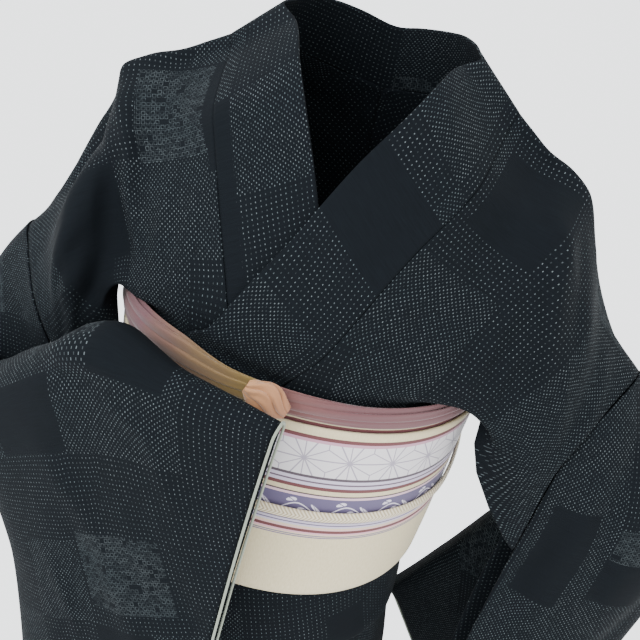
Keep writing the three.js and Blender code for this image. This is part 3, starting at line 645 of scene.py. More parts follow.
# %% The collar band
def from_seam(seam, edge):
    seam, edge = np.asarray(seam, float), np.asarray(edge, float)
    start = SEAM / np.linalg.norm(edge - seam)
    return np.array([mix(seam, edge, mix(start, 1, u)) for u in COLLAR_ACROSS])


def collar_half(hand):
    over = hand > 0
    rows = [from_seam([0, 106, -48], [0, 94, 10])]
    for level in reversed([one for one in back_levels(hand) if one < 0.45]):
        row = read(COLLAR_BEHIND, "level", level)
        rows.append(from_seam(back_level(hand, level)[0], [hand * row["ix"], row["iy"], row["iz"]]))
    rows.append(from_seam(front_level(hand, 0, 0)[0], [hand * 78, 6, 25]))
    for level in front_levels(hand):
        seam = front_level(hand, level, OVERLAP if over else SUNK)[0]
        raised = OVERLAP if over else 2 * SUNK * smooth(0.3, 0.5, level)
        slope = curve(COLLAR_SLOPE["level"], COLLAR_SLOPE["slope"], level)
        slope = math.radians(slope * (1 if over else 0.8))
        stand = 1 - smooth(0, 0.42, level)
        reach = [COLLAR_WIDTH * math.cos(slope), COLLAR_WIDTH * math.sin(slope)]
        edge = chest(seam[0] - hand * reach[0], seam[2] + reach[1], raised)
        free = [mix(edge[0], hand * 70, stand * 0.7), mix(edge[1], 0, stand * 0.8), mix(edge[2], 20, stand)]
        flat = smooth(0.1, 0.42, level)
        row = from_seam(seam, free)
        row[:, 1] = [mix(p[1], chest(p[0], p[2], raised)[1], flat) for p in row]
        rows.append(row)
    for z in COLLAR_LOW:
        if z > COLLAR_TURN:
            start = -curve(INNER_EDGE["z"], INNER_EDGE["angle"], z)
        else:
            start = curve(OVERLAP_EDGE["z"], OVERLAP_EDGE["angle"], z)
        angle = -hand * (start + 0.5 + np.array(COLLAR_ACROSS) * 31)
        height = waist_z(angle) if z == -214 else z
        lift = over_lift(np.maximum(-90, angle)) if over else under_dive(angle, z)
        rows.append(ring(angle, height, lift))
    return rows


def collar_grid():
    return np.array([*reversed(collar_half(-1)), *collar_half(1)[1:]])


print("collar grid:", collar_grid().shape)

# %% [markdown]
# ## Obi, scarf and cord
# The obi is one long band. In front it lies in two turns, the inner one showing a few millimetres above
# the outer one. Behind, the end is laid up over a small pillow into a drum knot. The scarf covers the
# pillow's ties and is tied in front; the flat braided cord holds the drum and lies over the obi's middle.

# %% Obi, scarf and cord
OBI = table(
    "z w f b",
    (OBI_TOP + 6, 156.6, 137.6, 115.1),
    (OBI_TOP, 156.1, 138.1, 115.1),
    (-300, 151.6, 142.1, 115.1),
    (-360, 147.1, 147.6, 116.1),
    (OBI_BOTTOM, 144.1, 150.6, 119.1),
)
DRUM = table(
    "y z",
    (118.2, -262),
    (118.6, -215),
    (140, -193),
    (168, -186),
    (194, -196),
    (208, -222),
    (212, -270),
    (209, -330),
    (203, -390),
    (196, -440),
    (186, -462),
    (170, -466),
    (156, -452),
    (150, -415),
    (148, -370),
)
SCARF = table(
    "angle height",
    (-150, 20),
    (-90, 21),
    (-62, 30),
    (-30, 31),
    (-10, 22),
    (10, 20),
    (45, 20),
    (90, 21),
    (150, 20),
)
SCARF_FOOT = OBI_TOP + 5.6
SCARF_THICK = 7.0
KNOT_ENDS = ((-15, -151.8, -213), (19, -151.8, -225))
KNOT_SIZE = (28, 19)
CORD_Z = -319
CORD_SIZE = (10.0, 3.6)
CORD_BEHIND = (156, 157.4)
CUFF_ROLL = (2.2, 2.6)
DRUM_HALF = 150
TAIL_HALF = 144
TAIL_Y = 154


def obi_ring(angle, z, lift=0):
    size = read(OBI, "z", z)
    s, c = np.sin(np.radians(angle)), np.cos(np.radians(angle))
    r = (np.abs(s) ** ROUND + np.abs(c) ** ROUND) ** (-1 / ROUND)
    depth = np.where(c > 0, size["f"], size["b"])
    return np.stack([s * r * (size["w"] + lift), -c * r * (depth + lift), z + 0 * s], axis=-1)


def wrap_grid(top, bottom, lift):
    angle = np.linspace(-172, 172, 173)
    heights = np.linspace(top, bottom, 41)
    return np.array([obi_ring(angle, z, lift + 0.35 * np.sin(z / 23 + angle / 17)) for z in heights])


def drum_grid():
    line = np.stack([DRUM["y"], DRUM["z"]], axis=1)
    place = np.array([along(line, t) for t in np.linspace(0, 1, 113)])
    u = np.linspace(-1, 1, 41)
    soft = 0.8 * np.sin(u * 9)[None, :] * np.sin(np.linspace(0, 7, 113))[:, None]
    y = place[:, :1] - 7 * u * u + soft
    return np.stack([DRUM_HALF * u + 0 * y, y, place[:, 1:] - 3 * u * u + 0 * y], axis=-1)


def tail_grid():
    u = np.linspace(-1, 1, 61)
    y = TAIL_Y - 40 * np.abs(u) ** 4
    return np.array([np.stack([u * TAIL_HALF, y, z + 0 * u], axis=1) for z in np.linspace(-285, -360, 13)])


print("obi wrap:", wrap_grid(OBI_TOP, OBI_BOTTOM, 0).shape)

# %% [markdown]
# ## Rolls of cloth
# The scarf, its knot, the flat cord and the rolled lining at the cuff are all long soft rolls, so one
# function sweeps an oval along a path. Its creases run along the roll and wander round it, as they do on
# silk that is gathered by hand. A curve with a bevel would be shorter to write, but it takes no creases.

# %% Rolls of cloth
def sweep(path, width, height, across, parts=24, ripple=0.0, waves=0):
    """A soft roll along a path, its width lying along `across`, with long creases that wander round it."""
    path = np.asarray(path, float)
    way = np.gradient(path, axis=0)
    way /= np.linalg.norm(way, axis=1, keepdims=True)
    wide = np.asarray(across, float) - way * (way @ np.asarray(across, float))[:, None]
    wide /= np.linalg.norm(wide, axis=1, keepdims=True)
    high = np.cross(way, wide)
    a = np.linspace(0, 2 * np.pi, parts + 1)
    t = np.linspace(0, 1, len(path))[:, None]
    turn = waves * a[None, :] / 2 + 3.5 * np.sin(3.1 * t + 0.7) + 2.0 * t
    crease = 1 - ripple * (1 - np.abs(np.sin(turn))) ** 2 - 0.2 * ripple * np.sin(3 * turn + 9 * t)
    u = 0.5 * np.cos(a)[None, :] * np.asarray(width, float).reshape(-1, 1) * crease
    v = 0.5 * np.sin(a)[None, :] * np.asarray(height, float).reshape(-1, 1) * crease
    return path[:, None] + wide[:, None] * u[..., None] + high[:, None] * v[..., None]


def scarf_grid(start, end):
    angle = np.linspace(start, end, 121)
    tall = curve(SCARF["angle"], SCARF["height"], angle)
    path = obi_ring(angle, OBI_TOP, 0.5)
    path[:, 2] = SCARF_FOOT + tall / 2
    return sweep(path, tall, np.full(121, SCARF_THICK), (0, 0, 1), 96, 0.34, 6)


def knot_grid():
    t = np.linspace(0, 1, 41)
    path = np.stack([mix(a, b, t) for a, b in zip(*KNOT_ENDS)], axis=1)
    swell = np.sin(np.pi * mix(0.13, 0.87, t))
    return sweep(path, KNOT_SIZE[0] * swell, KNOT_SIZE[1] * swell, (0, 0, 1), 96, 0.3, 6)


def cord_grid():
    angle = np.linspace(0, 360, 225)
    behind = smooth(80, 100, np.minimum(angle, 360 - angle))[:, None]
    s, c = np.sin(np.radians(angle)), np.cos(np.radians(angle))
    r = (np.abs(s) ** 5 + np.abs(c) ** 5) ** -0.2
    back = [s * r * CORD_BEHIND[0], -c * r * CORD_BEHIND[1], np.full(225, float(CORD_Z))]
    back = np.stack(back, axis=1)
    path = mix(obi_ring(angle, CORD_Z, 1 + SEAM + 2), back, behind)
    return sweep(path, np.full(225, CORD_SIZE[0]), np.full(225, CORD_SIZE[1]), (0, 0, 1), 16)


def cuff_grid(rows):
    down = np.array([0, 10, 26, 48, 80, 120, 170, ARMHOLE - 6], float)
    path = [sleeve_point(rows, 1, h, 1) for h in down[:0:-1]] + [sleeve_point(rows, 1, h, -1) for h in down]
    heading = math.radians(rows["heading"][-1])
    way = np.array([math.cos(heading), math.sin(heading), 0])
    path = spread(np.array(path) + way * (SEAM + 1.6), 6)
    return sweep(path, np.full(len(path), CUFF_ROLL[0]), np.full(len(path), CUFF_ROLL[1]), way, 12)


print("cord:", cord_grid().shape, "knot:", knot_grid().shape)

# %% [markdown]
# ## Nodes
# Each material is a small graph. One function adds a node, sets it up and links its inputs. Colours are
# written as the hex values that a colour picker gives, and turned into the linear values that light uses.

# %% Nodes
def linear(hex_colour):
    channels = [int(hex_colour[k : k + 2], 16) / 255 for k in (1, 3, 5)]
    return [c / 12.92 if c <= 0.04045 else ((c + 0.055) / 1.055) ** 2.4 for c in channels] + [1.0]


class Graph:
    """One material's nodes. The name is the real cloth's, and the other values go to its shader."""

    def __init__(self, name, roughness, sheen=0.0, specular=0.3):
        self.material = bpy.data.materials.new(name)
        self.material.use_nodes = True
        self.tree = self.material.node_tree
        self.shader = self.tree.nodes["Principled BSDF"]
        self.shader.inputs["Roughness"].default_value = roughness
        self.shader.inputs["Sheen Weight"].default_value = sheen
        self.shader.inputs["Sheen Roughness"].default_value = 0.5
        self.shader.inputs["Specular IOR Level"].default_value = specular

    def add(self, kind, inputs=(), output=0, **settings):
        node = self.tree.nodes.new("ShaderNode" + kind)
        for name, value in settings.items():
            setattr(node, name, value)
        for key, value in dict(inputs).items():
            if isinstance(value, bpy.types.NodeSocket):
                self.tree.links.new(value, node.inputs[key])
            else:
                node.inputs[key].default_value = value
        return node.outputs[output]

    def calc(self, operation, a, b=0.0, c=0.0):
        return self.add("Math", {0: a, 1: b, 2: c}, operation=operation)

    def mixed(self, factor, a, b):
        return self.add("Mix", {0: factor, 6: a, 7: b}, 2, data_type="RGBA")

    def coordinates(self):
        """The cloth coordinates in metres, across the panel and along it."""
        u = self.add("SeparateXYZ", {0: self.add("TexCoord", output=2)})
        return u, u.node.outputs[1]

    def inside(self, value, low, high):
        above = self.calc("GREATER_THAN", value, low)
        return self.calc("MULTIPLY", above, self.calc("LESS_THAN", value, high))

    def boxed(self, u, v, box):
        return self.calc("MULTIPLY", self.inside(u, *box[:2]), self.inside(v, *box[2:]))

    def finish(self, colour, height=None, distance=0.0003):
        self.tree.links.new(colour, self.shader.inputs["Base Color"])
        if height is not None:
            bump = self.add("Bump", {"Height": height, "Distance": distance, "Strength": 0.6})
            self.tree.links.new(bump, self.shader.inputs["Normal"])
        return self.material


print("linear charcoal:", [round(v, 4) for v in linear("#23282c")])

# %% [markdown]
# ## Tsumugi cloth
# Tsumugi is woven from slubbed silk, so it is matt and slightly uneven. The pale marks are kasuri: threads
# are tied and dyed before weaving, and each mark is a short dash of undyed thread. The marks sit on a grid
# of about four millimetres, in rows two millimetres apart, and change in density from one rectangle of the
# cloth to the next. They could be painted as an image, but nodes on the cloth coordinates keep the grid
# true on every panel. The half widths are shares of a cell. Some plain blocks and two patches of rings are
# put where the photo shows them, and the other patches are dealt out by noise.

# %% Tsumugi cloth
MARK_STEP = 0.0039
MARK_HALF = (0.085, 0.27)
RING_STEP = 0.0039
RING_HALF = (0.29, 0.4)
PATCH = (0.066, 0.078)
SPARSE_SHARE = 0.5
RING_SHARE = 0.04


def tsumugi(name, shift, plain=(), rings=(), bare_share=0.04):
    """Kasuri cloth. shift moves the patches, plain and rings list patches (from u, to u, from v, to v)."""
    g = Graph(name, 0.9, 0.0, 0.07)
    u, v = g.coordinates()
    # The marks: short dashes, one in each cell, every second row moved by half a cell.
    column, row = g.calc("DIVIDE", u, MARK_STEP), g.calc("DIVIDE", v, MARK_STEP / 2)
    odd = g.calc("MODULO", g.calc("ABSOLUTE", g.calc("FLOOR", row)), 2)
    slid = g.calc("ADD", column, g.calc("MULTIPLY", odd, 0.5))
    cell = g.add("CombineXYZ", {0: g.calc("FLOOR", slid), 1: g.calc("FLOOR", row)})
    chance = g.add("TexWhiteNoise", {0: cell}, 0, noise_dimensions="2D")
    slip = g.calc("MULTIPLY_ADD", chance, 0.14, -0.57)
    across = g.calc("ABSOLUTE", g.calc("ADD", g.calc("FRACT", slid), slip))
    down = g.calc("ABSOLUTE", g.calc("SUBTRACT", g.calc("FRACT", row), 0.5))
    narrow, low = g.calc("LESS_THAN", across, MARK_HALF[0]), g.calc("LESS_THAN", down, MARK_HALF[1])
    mark = g.calc("MULTIPLY", narrow, low)
    # Every patch of the cloth has its own density: dense, sparse, bare, or with rings in place of dashes.
    u_patch = g.calc("FLOOR", g.calc("DIVIDE", g.calc("ADD", u, shift[0]), PATCH[0]))
    v_patch = g.calc("FLOOR", g.calc("DIVIDE", g.calc("ADD", v, shift[1]), PATCH[1]))
    patch = g.add("CombineXYZ", {0: u_patch, 1: v_patch})
    kind = g.add("TexWhiteNoise", {0: patch}, 0, noise_dimensions="2D")
    bare = g.calc("LESS_THAN", kind, bare_share)
    for box in plain:
        bare = g.calc("MAXIMUM", bare, g.boxed(u, v, box))
    ringed = g.inside(kind, 1 - RING_SHARE, 1.0)
    for box in rings:
        ringed = g.calc("MAXIMUM", ringed, g.boxed(u, v, box))
    sparse = g.inside(kind, bare_share, SPARSE_SHARE)
    hidden = g.calc("MAXIMUM", ringed, g.calc("MULTIPLY", sparse, odd))
    mark = g.calc("MULTIPLY", mark, g.calc("SUBTRACT", 1.0, hidden))
    # Rings: small square outlines that touch, some of them missing.
    ring_u, ring_v = g.calc("DIVIDE", u, RING_STEP), g.calc("DIVIDE", v, RING_STEP)
    ring_cell = g.add("CombineXYZ", {0: g.calc("FLOOR", ring_u), 1: g.calc("FLOOR", ring_v)})
    ring_chance = g.add("TexWhiteNoise", {0: ring_cell}, 0, noise_dimensions="2D")
    far = [g.calc("ABSOLUTE", g.calc("SUBTRACT", g.calc("FRACT", axis), 0.5)) for axis in (ring_u, ring_v)]
    outline = g.inside(g.calc("MAXIMUM", far[0], far[1]), *RING_HALF)
    outline = g.calc("MULTIPLY", outline, g.calc("GREATER_THAN", ring_chance, 0.1))
    outline = g.calc("MULTIPLY", g.calc("MULTIPLY", outline, ringed), 0.5)
    shown = g.calc("MULTIPLY", g.calc("MAXIMUM", mark, outline), g.calc("SUBTRACT", 1.0, bare))
    # Slubs: long soft noise along the weft, in brightness and in the surface.
    stretched = g.add("CombineXYZ", {0: g.calc("MULTIPLY", u, 60), 1: g.calc("MULTIPLY", v, 900)})
    slub = g.add("TexNoise", {"Vector": stretched, "Scale": 1.0, "Detail": 2.0}, 0)
    ground = g.mixed(slub, linear("#090c0f"), linear("#101418"))
    tint = g.add("TexNoise", {"Vector": cell, "Scale": 0.05, "Detail": 1.0}, 0)
    pale = g.mixed(tint, linear("#586a6e"), linear("#8b9192"))
    strength = g.calc("MULTIPLY", shown, g.calc("MULTIPLY_ADD", chance, 0.4, 0.08))
    return g.finish(g.mixed(strength, ground, pale), slub, 0.0003)


print("marks:", MARK_STEP * 1000, "mm apart, patches:", [round(1000 * size) for size in PATCH], "mm")

# %% [markdown]
# ## Obi cloth
# The obi is a firm silk with woven bands that run along it. A list gives each band as a share of the
# folded height. Two bands carry common patterns: hemp leaf, which is a triangle grid with each triangle
# cut to its middle, and a running vine with leaves. Both are worked out from distances to lines.

# %% Obi cloth
BANDS = (
    (0.046, 0.066, "#5e3234"),
    (0.066, 0.083, "#b58a9a"),
    (0.083, 0.270, "#cfcacc"),
    (0.270, 0.285, "#4b4048"),
    (0.285, 0.303, "#b9afc0"),
    (0.303, 0.312, "#5b4b58"),
    (0.312, 0.330, "#b9afc0"),
    (0.330, 0.350, "#5e3234"),
    (0.375, 0.383, "#4a3b40"),
    (0.383, 0.397, "#c7a9b4"),
    (0.397, 0.543, "#574e6b"),
    (0.543, 0.555, "#b9afc0"),
    (0.555, 0.561, "#574e6b"),
    (0.561, 0.573, "#b9afc0"),
    (0.580, 0.590, "#cda7a4"),
    (0.590, 0.607, "#5e3234"),
    (0.607, 0.618, "#c99aa4"),
    (0.624, 0.630, "#6b5f7c"),
    (0.634, 0.640, "#6b5f7c"),
)
STAR = 0.036
VINE = 0.040
LEAF = (0.0036, 0.0021)


def obi_silk(name, turned=False, offset=0.0):
    """Obi cloth. turned lays the bands upright, as they run on the drum knot."""
    g = Graph(name, 0.62, 0.15)
    u, v = g.coordinates()
    run, height = (v, u) if turned else (u, v)
    share = g.calc("DIVIDE", g.calc("ADD", height, offset), OBI_HEIGHT / 1000)
    threads = g.add("CombineXYZ", {0: g.calc("MULTIPLY", run, 900), 1: g.calc("MULTIPLY", height, 250)})
    weave = g.add("TexNoise", {"Vector": threads, "Scale": 1.0}, 0)
    colour = g.mixed(weave, linear("#bbac88"), linear("#d1c4a3"))
    for low, high, hex_colour in BANDS:
        colour = g.mixed(g.inside(share, low, high), colour, linear(hex_colour))
    # Hemp leaf: three shares that add up to one inside each triangle give the edges and the medians.
    side = STAR * math.sqrt(3) / 2
    y = g.calc("DIVIDE", g.calc("ADD", height, offset - 0.1765 * OBI_HEIGHT / 1000), side)
    x = g.calc("MULTIPLY", g.calc("DIVIDE", run, side), math.sqrt(3) / 2)
    half = g.calc("MULTIPLY", y, 0.5)
    q = [y, g.calc("SUBTRACT", g.calc("MULTIPLY", x, -1), half), g.calc("SUBTRACT", x, half)]
    f = [g.calc("FRACT", g.calc("ADD", value, 50.0)) for value in q]
    total = g.calc("ADD", g.calc("ADD", f[0], f[1]), f[2])
    flip = g.calc("GREATER_THAN", total, 1.5)
    sign = g.calc("MULTIPLY_ADD", flip, -2, 1)
    f = [g.calc("ADD", g.calc("MULTIPLY", value, sign), flip) for value in f]
    least = g.calc("MINIMUM", g.calc("MINIMUM", f[0], f[1]), f[2])
    most = g.calc("MAXIMUM", g.calc("MAXIMUM", f[0], f[1]), f[2])
    middle = g.calc("SUBTRACT", g.calc("SUBTRACT", 1.0, most), g.calc("MULTIPLY", least, 2))
    leaf = g.calc("MAXIMUM", g.calc("LESS_THAN", least, 0.018), g.calc("LESS_THAN", middle, 0.024))
    leaf = g.calc("MULTIPLY", leaf, g.inside(share, 0.083, 0.270))
    colour = g.mixed(g.calc("MULTIPLY", leaf, 0.75), colour, linear("#7d7286"))
    # Vine: a wave along the dark band, with a leaf on each side in turn.
    centre = g.calc("ADD", height, offset - 0.47 * OBI_HEIGHT / 1000)
    wave = g.calc("MULTIPLY", g.calc("SINE", g.calc("MULTIPLY", run, 2 * math.pi / VINE)), 0.0045)
    away = g.calc("SUBTRACT", centre, wave)
    stem = g.calc("LESS_THAN", g.calc("ABSOLUTE", away), 0.0006)
    place = g.calc("DIVIDE", run, VINE / 4)
    turn = g.calc("MULTIPLY_ADD", g.calc("MODULO", g.calc("ADD", g.calc("FLOOR", place), 400), 2), 2, -1)
    across = g.calc("MULTIPLY", g.calc("SUBTRACT", g.calc("FRACT", place), 0.5), VINE / 4)
    rise = g.calc("SUBTRACT", away, g.calc("MULTIPLY", turn, 0.0042))
    tilt = g.calc("ADD", across, g.calc("MULTIPLY", rise, turn))
    long_part = g.calc("POWER", g.calc("DIVIDE", tilt, LEAF[0]), 2)
    wide_part = g.calc("POWER", g.calc("DIVIDE", rise, LEAF[1]), 2)
    blade = g.calc("LESS_THAN", g.calc("ADD", long_part, wide_part), 1)
    beside_rib = g.calc("GREATER_THAN", g.calc("ABSOLUTE", tilt), 0.0004)
    petal = g.calc("MULTIPLY", blade, beside_rib)
    motif = g.calc("MULTIPLY", g.calc("MAXIMUM", stem, petal), g.inside(share, 0.405, 0.537))
    colour = g.mixed(motif, colour, linear("#cbc4d2"))
    return g.finish(colour, weave, 0.0002)


print("bands on the obi:", len(BANDS))

# %% [markdown]
# ## Scarf, cord and lining
# The scarf is a soft crepe, dyed from mauve to ochre near the knot. The cord is a flat braid: slanted
# strands meet in a V along its middle, and are painted darker where they meet, as shade in the grooves.
# The cuff lining is plain silk.

# %% Scarf, cord and lining
def scarf_silk(name, far, near, reach):
    """Crepe dyed from one colour to another along the roll. reach is where along it the change ends."""
    g = Graph(name, 0.7, 0.35)
    _, v = g.coordinates()
    along_roll = g.add("MapRange", {0: v, 1: 0.0, 2: reach, 3: 1.0, 4: 0.0}, 0)
    noise = g.add("TexNoise", {"Vector": g.add("TexCoord", output=2), "Scale": 28.0, "Detail": 3.0}, 0)
    shade = g.calc("ADD", along_roll, g.calc("MULTIPLY_ADD", noise, 0.5, -0.25))
    grain = g.add("TexNoise", {"Vector": g.add("TexCoord", output=2), "Scale": 1600.0}, 0)
    return g.finish(g.mixed(shade, linear(far), linear(near)), grain, 0.0002)


def braid(name):
    g = Graph(name, 0.6, 0.2)
    u, v = g.coordinates()
    fold = g.calc("ABSOLUTE", g.calc("SUBTRACT", g.calc("FRACT", g.calc("DIVIDE", u, 0.0112)), 0.5))
    slant = g.calc("ADD", g.calc("DIVIDE", v, 0.0032), g.calc("MULTIPLY", fold, 3.0))
    strand = g.calc("ABSOLUTE", g.calc("SUBTRACT", g.calc("FRACT", slant), 0.5))
    # The strands are painted lighter along their middles and darker where they meet: painted shade in the
    # grooves of the braid, following the same relief as the bump.
    colour = g.mixed(g.calc("MULTIPLY", strand, 2.0), linear("#ddd2bb"), linear("#9d8a68"))
    return g.finish(colour, g.calc("SUBTRACT", 1.0, g.calc("MULTIPLY", strand, 2.0)), 0.0006)


def lining_silk(name):
    g = Graph(name, 0.6, 0.2)
    noise = g.add("TexNoise", {"Scale": 300.0}, 0)
    return g.finish(g.mixed(noise, linear("#747c6c"), linear("#8b9182")), noise, 0.0001)


looks = {
    "body_left": tsumugi(
        "tsumugi, left strip",
        (0.011, 0.02),
        [(-0.075, -0.012, 0.03, 0.106), (-0.05, -0.015, 0.47, 0.56)],
        bare_share=0.0,
    ),
    "body_right": tsumugi(
        "tsumugi, right strip",
        (0.031, 0.05),
        [(-0.004, 0.01, 0.03, 0.125), (-0.155, -0.115, 0.165, 0.225)],
        [(-0.071, -0.005, 0.032, 0.11)],
    ),
    "sleeve_left": tsumugi(
        "tsumugi, left sleeve", (0.017, 0.033), [(-0.275, -0.235, -0.04, 0.07), (-0.215, -0.165, 0, 0.05)]
    ),
    "sleeve_right": tsumugi(
        "tsumugi, right sleeve",
        (0.04, 0.02),
        [(0.092, 0.145, -0.04, 0.03), (-0.03, 0.05, -0.095, -0.035)],
        [(0.03, 0.12, -0.235, -0.165)],
    ),
    "collar": tsumugi("tsumugi, collar", (0.052, 0.041), [(0, 0.08, 1.0, 1.068)]),
    "panel": tsumugi("tsumugi, overlap panels", (0.007, 0.06)),
    "obi": obi_silk("obi silk"),
    "obi_inner": obi_silk("obi silk, inner turn", offset=0.0045),
    "obi_back": obi_silk("obi silk, drum", turned=True, offset=-0.055),
    "scarf_left": scarf_silk("scarf crepe, left", "#5c383b", "#6a443f", 0.06),
    "scarf_right": scarf_silk("scarf crepe, right", "#5c383c", "#75602e", 0.12),
    "knot": scarf_silk("scarf crepe, knot", "#8c5c42", "#a4764e", 0.05),
    "braid": braid("braided silk cord"),
    "lining": lining_silk("cuff lining silk"),
}
print("materials:", len(looks))

# %% [markdown]
# ## Creases
# Cloth that is pulled or pushed creases along lines. Each crease here is a soft ridge or trough along a
# short path, with a height and a width, placed in the flat cloth's own millimetres: across, and then along.
# A crease placed in space would touch the layer behind as well. The cloth moves along its normal, and the
# crease fades out towards both ends. A slow wave keeps flat stretches from looking ironed. Cloth simulation
# would make such lines too, but not at chosen places.

# %% Creases
def pressed(grid, flat, creases, facing):
    """The grid with its creases. A positive height moves the cloth along facing times its normals."""
    at = (flat[0] + 1j * flat[1]) * 1000
    inside = np.sin(np.linspace(0, np.pi, grid.shape[1])) ** 0.7
    moved = 0.8 * inside * np.sin(at.real / 16 + np.sin(at.imag / 37)) * np.sin(at.imag / 43 + 1)
    for height, width, *path in creases:
        path = [complex(*point) for point in path]
        best = np.full(at.shape, 1e9)
        place = np.zeros(at.shape)
        for k, (a, b) in enumerate(zip(path, path[1:])):
            t = np.clip((np.conj(b - a) * (at - a)).real / abs(b - a) ** 2, 0, 1)
            d = np.abs(at - a - t * (b - a))
            place = np.where(d < best, (k + t) / (len(path) - 1), place)
            best = np.minimum(best, d)
        fade = np.sin(np.pi * np.clip(place, 0.02, 0.98)) ** 0.6
        moved = moved + height * fade * np.exp(-((best / width) ** 2))
    return grid + normals(grid) * facing * moved[..., None]


CREASES = {
    "body_right": (
        (-7, 8, (-83, 41), (-76, 84), (-86, 132), (-85, 183)),
        (5, 10, (-128, 27), (-100, 116), (-119, 174), (-154, 214)),
        (-3, 7, (-65, 194), (-54, 162), (-44, 125)),
        (-2.5, 7, (-42, 209), (-30, 166), (-18, 134)),
        (-4, 8, (-189, 187), (-152, 183), (-132, 166)),
        (-3, 8, (-200, 180), (-175, 166), (-132, 143)),
        (-5, 12, (-96, -60), (-104, -120), (-100, -190)),
        (-3, 9, (-60, -90), (-52, -140), (-50, -200)),
        (-4, 16, (-110, 640), (-118, 900), (-112, 1260)),
        (-4, 16, (-70, -640), (-76, -900), (-70, -1260)),
    ),
    "body_left": (
        (-7, 9, (-60, 50), (-89, 95), (-124, 136), (-158, 171)),
        (4, 11, (-86, 48), (-126, 99), (-181, 155)),
        (-2.5, 7, (-28, 156), (-21, 182), (-17, 199)),
        (-3, 7, (-102, 214), (-93, 165), (-82, 123)),
        (-3, 6, (-122, 213), (-116, 172), (-111, 135)),
        (-2, 7, (-56, 226), (-62, 190), (-63, 151)),
        (-4, 10, (-183, 59), (-216, 146), (-222, 200)),
        (-5, 12, (-90, -56), (-98, -126), (-108, -186)),
        (-3, 9, (-52, -96), (-58, -150), (-54, -204)),
        (-4, 16, (-100, 620), (-92, 880), (-100, 1240)),
        (-4, 16, (-80, -660), (-72, -930), (-80, -1250)),
    ),
    "sleeve_right": (
        (-6, 10, (-143, 51), (50, -24), (97, -30)),
        (4, 8, (-125, 55), (66, -41), (103, -49)),
        (-3, 8, (-15, -188), (-3, -223), (0, -266)),
        (-3, 8, (97, -55), (137, -74), (147, -140)),
        (-4, 14, (20, -90), (60, -180), (80, -300)),
        (3, 14, (110, -120), (130, -240), (140, -380)),
        (-4, 14, (0, 100), (30, 220), (40, 380)),
        (-3, 12, (120, 90), (140, 200), (150, 340)),
    ),
    "sleeve_left": (
        (-5, 11, (-216, -113), (-232, -39), (-196, 87)),
        (-4, 10, (-272, -20), (-272, 60), (-264, 109)),
        (3, 11, (-250, -60), (-250, 40), (-230, 150)),
        (-4, 12, (-150, 20), (-160, 120), (-170, 240)),
        (-4, 13, (-60, 60), (-80, 180), (-90, 320)),
        (-4, 13, (-120, -150), (-140, -260), (-150, -380)),
    ),
}
print("creases:", {name: len(rows) for name, rows in CREASES.items()})

# %% [markdown]
# ## The kimono
# Every panel is made from its grid and stands for the plain solid of the same name. The strips and the
# sleeves get their creases first. The lining at a cuff is a small roll, so it gets no thickness. The parts
# say how many steps `refine` puts in.

# %% The kimono
BODY_PARTS = (4, 8)
SLEEVE_PARTS = (5, 5)
PANEL_PARTS = (4, 10)
COLLAR_PARTS = (5, 10)
COLLAR_CLOTH = 1.8
WARP_RUN = 28
SLEEVE_MIDDLE = 45
SLEEVE_RUN = 45

for hand, side in ((1, "left"), (-1, "right")):
    coarse, shoulder = body_grid(hand)
    fine = refine(coarse, *BODY_PARTS)
    top = shoulder * BODY_PARTS[0]
    flat = unrolled(fine, 4, 4, ((top, 0), (top - WARP_RUN, 0)))
    fine = pressed(fine, flat, CREASES["body_" + side], 1 if hand > 0 else -1)
    name = "body_" + side
    made = piece("cloth_" + name, fine, CLOTH, looks[name], [name], flat)
    rows = SLEEVES[hand]
    fine = refine(sleeve_grid(rows), *SLEEVE_PARTS)
    fold = SLEEVE_PARTS[1] * (len(SLEEVE_DOWN) - 1)
    flat = unrolled(fine, 3, 5, ((SLEEVE_MIDDLE, fold), (SLEEVE_MIDDLE, fold - SLEEVE_RUN)))
    fine = pressed(fine, flat, CREASES["sleeve_" + side], 1)
    fine[:, -1] = fine[:, 0]
    name = "sleeve_" + side
    made = piece("cloth_" + name, fine, CLOTH, looks[name], [name], flat, loop=True)
    fine = refine(overlap_grid(hand), *PANEL_PARTS)
    name = "okumi_" + side
    made = piece("cloth_" + name, fine, CLOTH, looks["panel"], [name], banded(fine))
    fine = cuff_grid(rows)
    name = "cuff_lining_" + side
    piece("lining_cuff_" + side, fine, 0, looks["lining"], [name], loop=True)

fine = refine(collar_grid(), *COLLAR_PARTS)
made = piece("cloth_collar", fine, COLLAR_CLOTH, looks["collar"], ["collar"], banded(fine))

# %% [markdown]
# ## The obi and what ties it
# The obi is one band on the real kimono. Here each stretch that shows is its own sheet: two turns round
# the waist, the drum knot and its tail. One long grid would do as well, but the bands run along the two
# turns and upright on the drum, so they need two materials.

# %% The obi and what ties it
fine = wrap_grid(OBI_TOP + 5, OBI_BOTTOM + 3, -OBI_WRAP_STEP)
made = piece("silk_obi_inner", fine, INNER_CLOTH, looks["obi_inner"], ["obi_wrap_inner"])
fine = wrap_grid(OBI_TOP, OBI_BOTTOM, 0)
made = piece("silk_obi_outer", fine, OBI_CLOTH, looks["obi"], ["obi_wrap_outer"])
made = piece("silk_obi_drum", drum_grid(), OBI_CLOTH, looks["obi_back"], ["obi_drum"])
made = piece("silk_obi_tail", tail_grid(), OBI_CLOTH, looks["obi_inner"], ["obi_tail"])
for side, start, end in (("left", 2, 150), ("right", -2, -150)):
    name = "obiage_" + side
    piece("silk_" + name, scarf_grid(start, end), 0, looks["scarf_" + side], [name], loop=True)
piece("silk_obiage_knot", knot_grid(), 0, looks["knot"], ["obiage_knot"], loop=True)
piece("silk_obijime", cord_grid(), 0, looks["braid"], ["obijime_band"], loop=True)

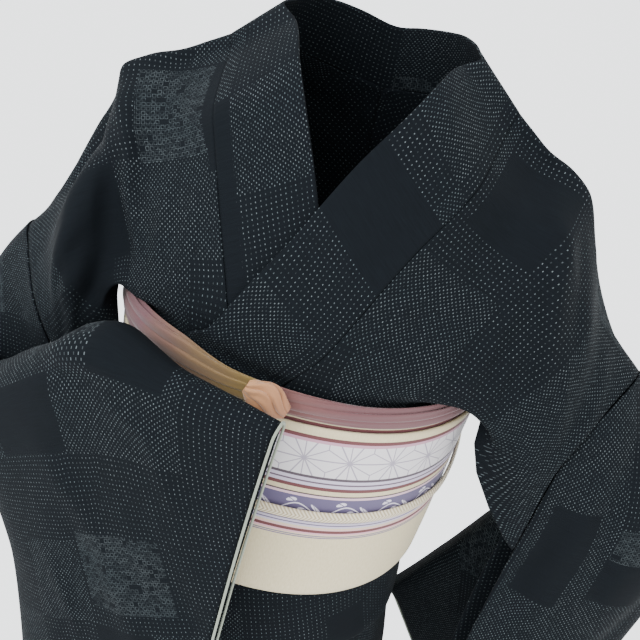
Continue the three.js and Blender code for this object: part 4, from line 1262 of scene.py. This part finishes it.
# %% [markdown]
# ## Light
# Near-black cloth needs a large soft light, or its folds disappear. A pale room all round gives the fill
# and the plain background, and one wide lamp on the viewer's left gives the form. A lamp for each fold
# would give hard edges that cloth this matt does not have.

# %% Light
world = bpy.data.worlds.new("pale room")
bpy.context.scene.world = world
world.use_nodes = True
world.node_tree.nodes["Background"].inputs["Color"].default_value = linear("#eef1f3")
world.node_tree.nodes["Background"].inputs["Strength"].default_value = 3.0


def lamp(name, place, target, size, power, colour):
    light = bpy.data.lights.new(name, "AREA")
    light.size = size
    light.energy = power
    light.color = linear(colour)[:3]
    made = bpy.data.objects.new(name, light)
    bpy.context.scene.collection.objects.link(made)
    made.location = place
    made.rotation_euler = (Vector(target) - Vector(place)).to_track_quat("-Z", "Y").to_euler()


lamp("window", (-1.3, -1.6, 1.3), (0, 0, -0.2), 1.2, 50, "#f4f7ff")
print("lights:", [one.name for one in bpy.data.lights])

# %% [markdown]
# ## Camera
# The camera stands high and close to the chest, looks down, and is turned a little about its own axis. Its
# axes are worked out one after the other from the way it looks, so each angle can be changed alone.

# %% Camera
CAMERA_AT = Vector((0.0970, -0.7846, 0.2078))
YAW, ROLL = -0.112, 0.248
LENS, SENSOR = 58.8, 36
forward = Vector((-0.0978, 0.8710, -0.4815)).normalized()
right = Vector((math.cos(YAW), -math.sin(YAW), 0))
right = (right - forward * right.dot(forward)).normalized()
up = right.cross(forward)
side_axis = right * math.cos(ROLL) + up * math.sin(ROLL)
up_axis = up * math.cos(ROLL) - right * math.sin(ROLL)
camera = bpy.data.objects.new("camera", bpy.data.cameras.new("camera"))
bpy.context.scene.collection.objects.link(camera)
camera.data.lens = LENS
camera.data.sensor_width = SENSOR
camera.data.clip_start = 0.01
turned = Matrix([side_axis, up_axis, -forward]).transposed().to_4x4()
camera.matrix_world = Matrix.Translation(CAMERA_AT) @ turned
bpy.context.scene.camera = camera
print("camera at", [round(v, 3) for v in CAMERA_AT])

# %% [markdown]
# The dressed kimono keeps the size of the solids.

bpy.context.view_layer.update()
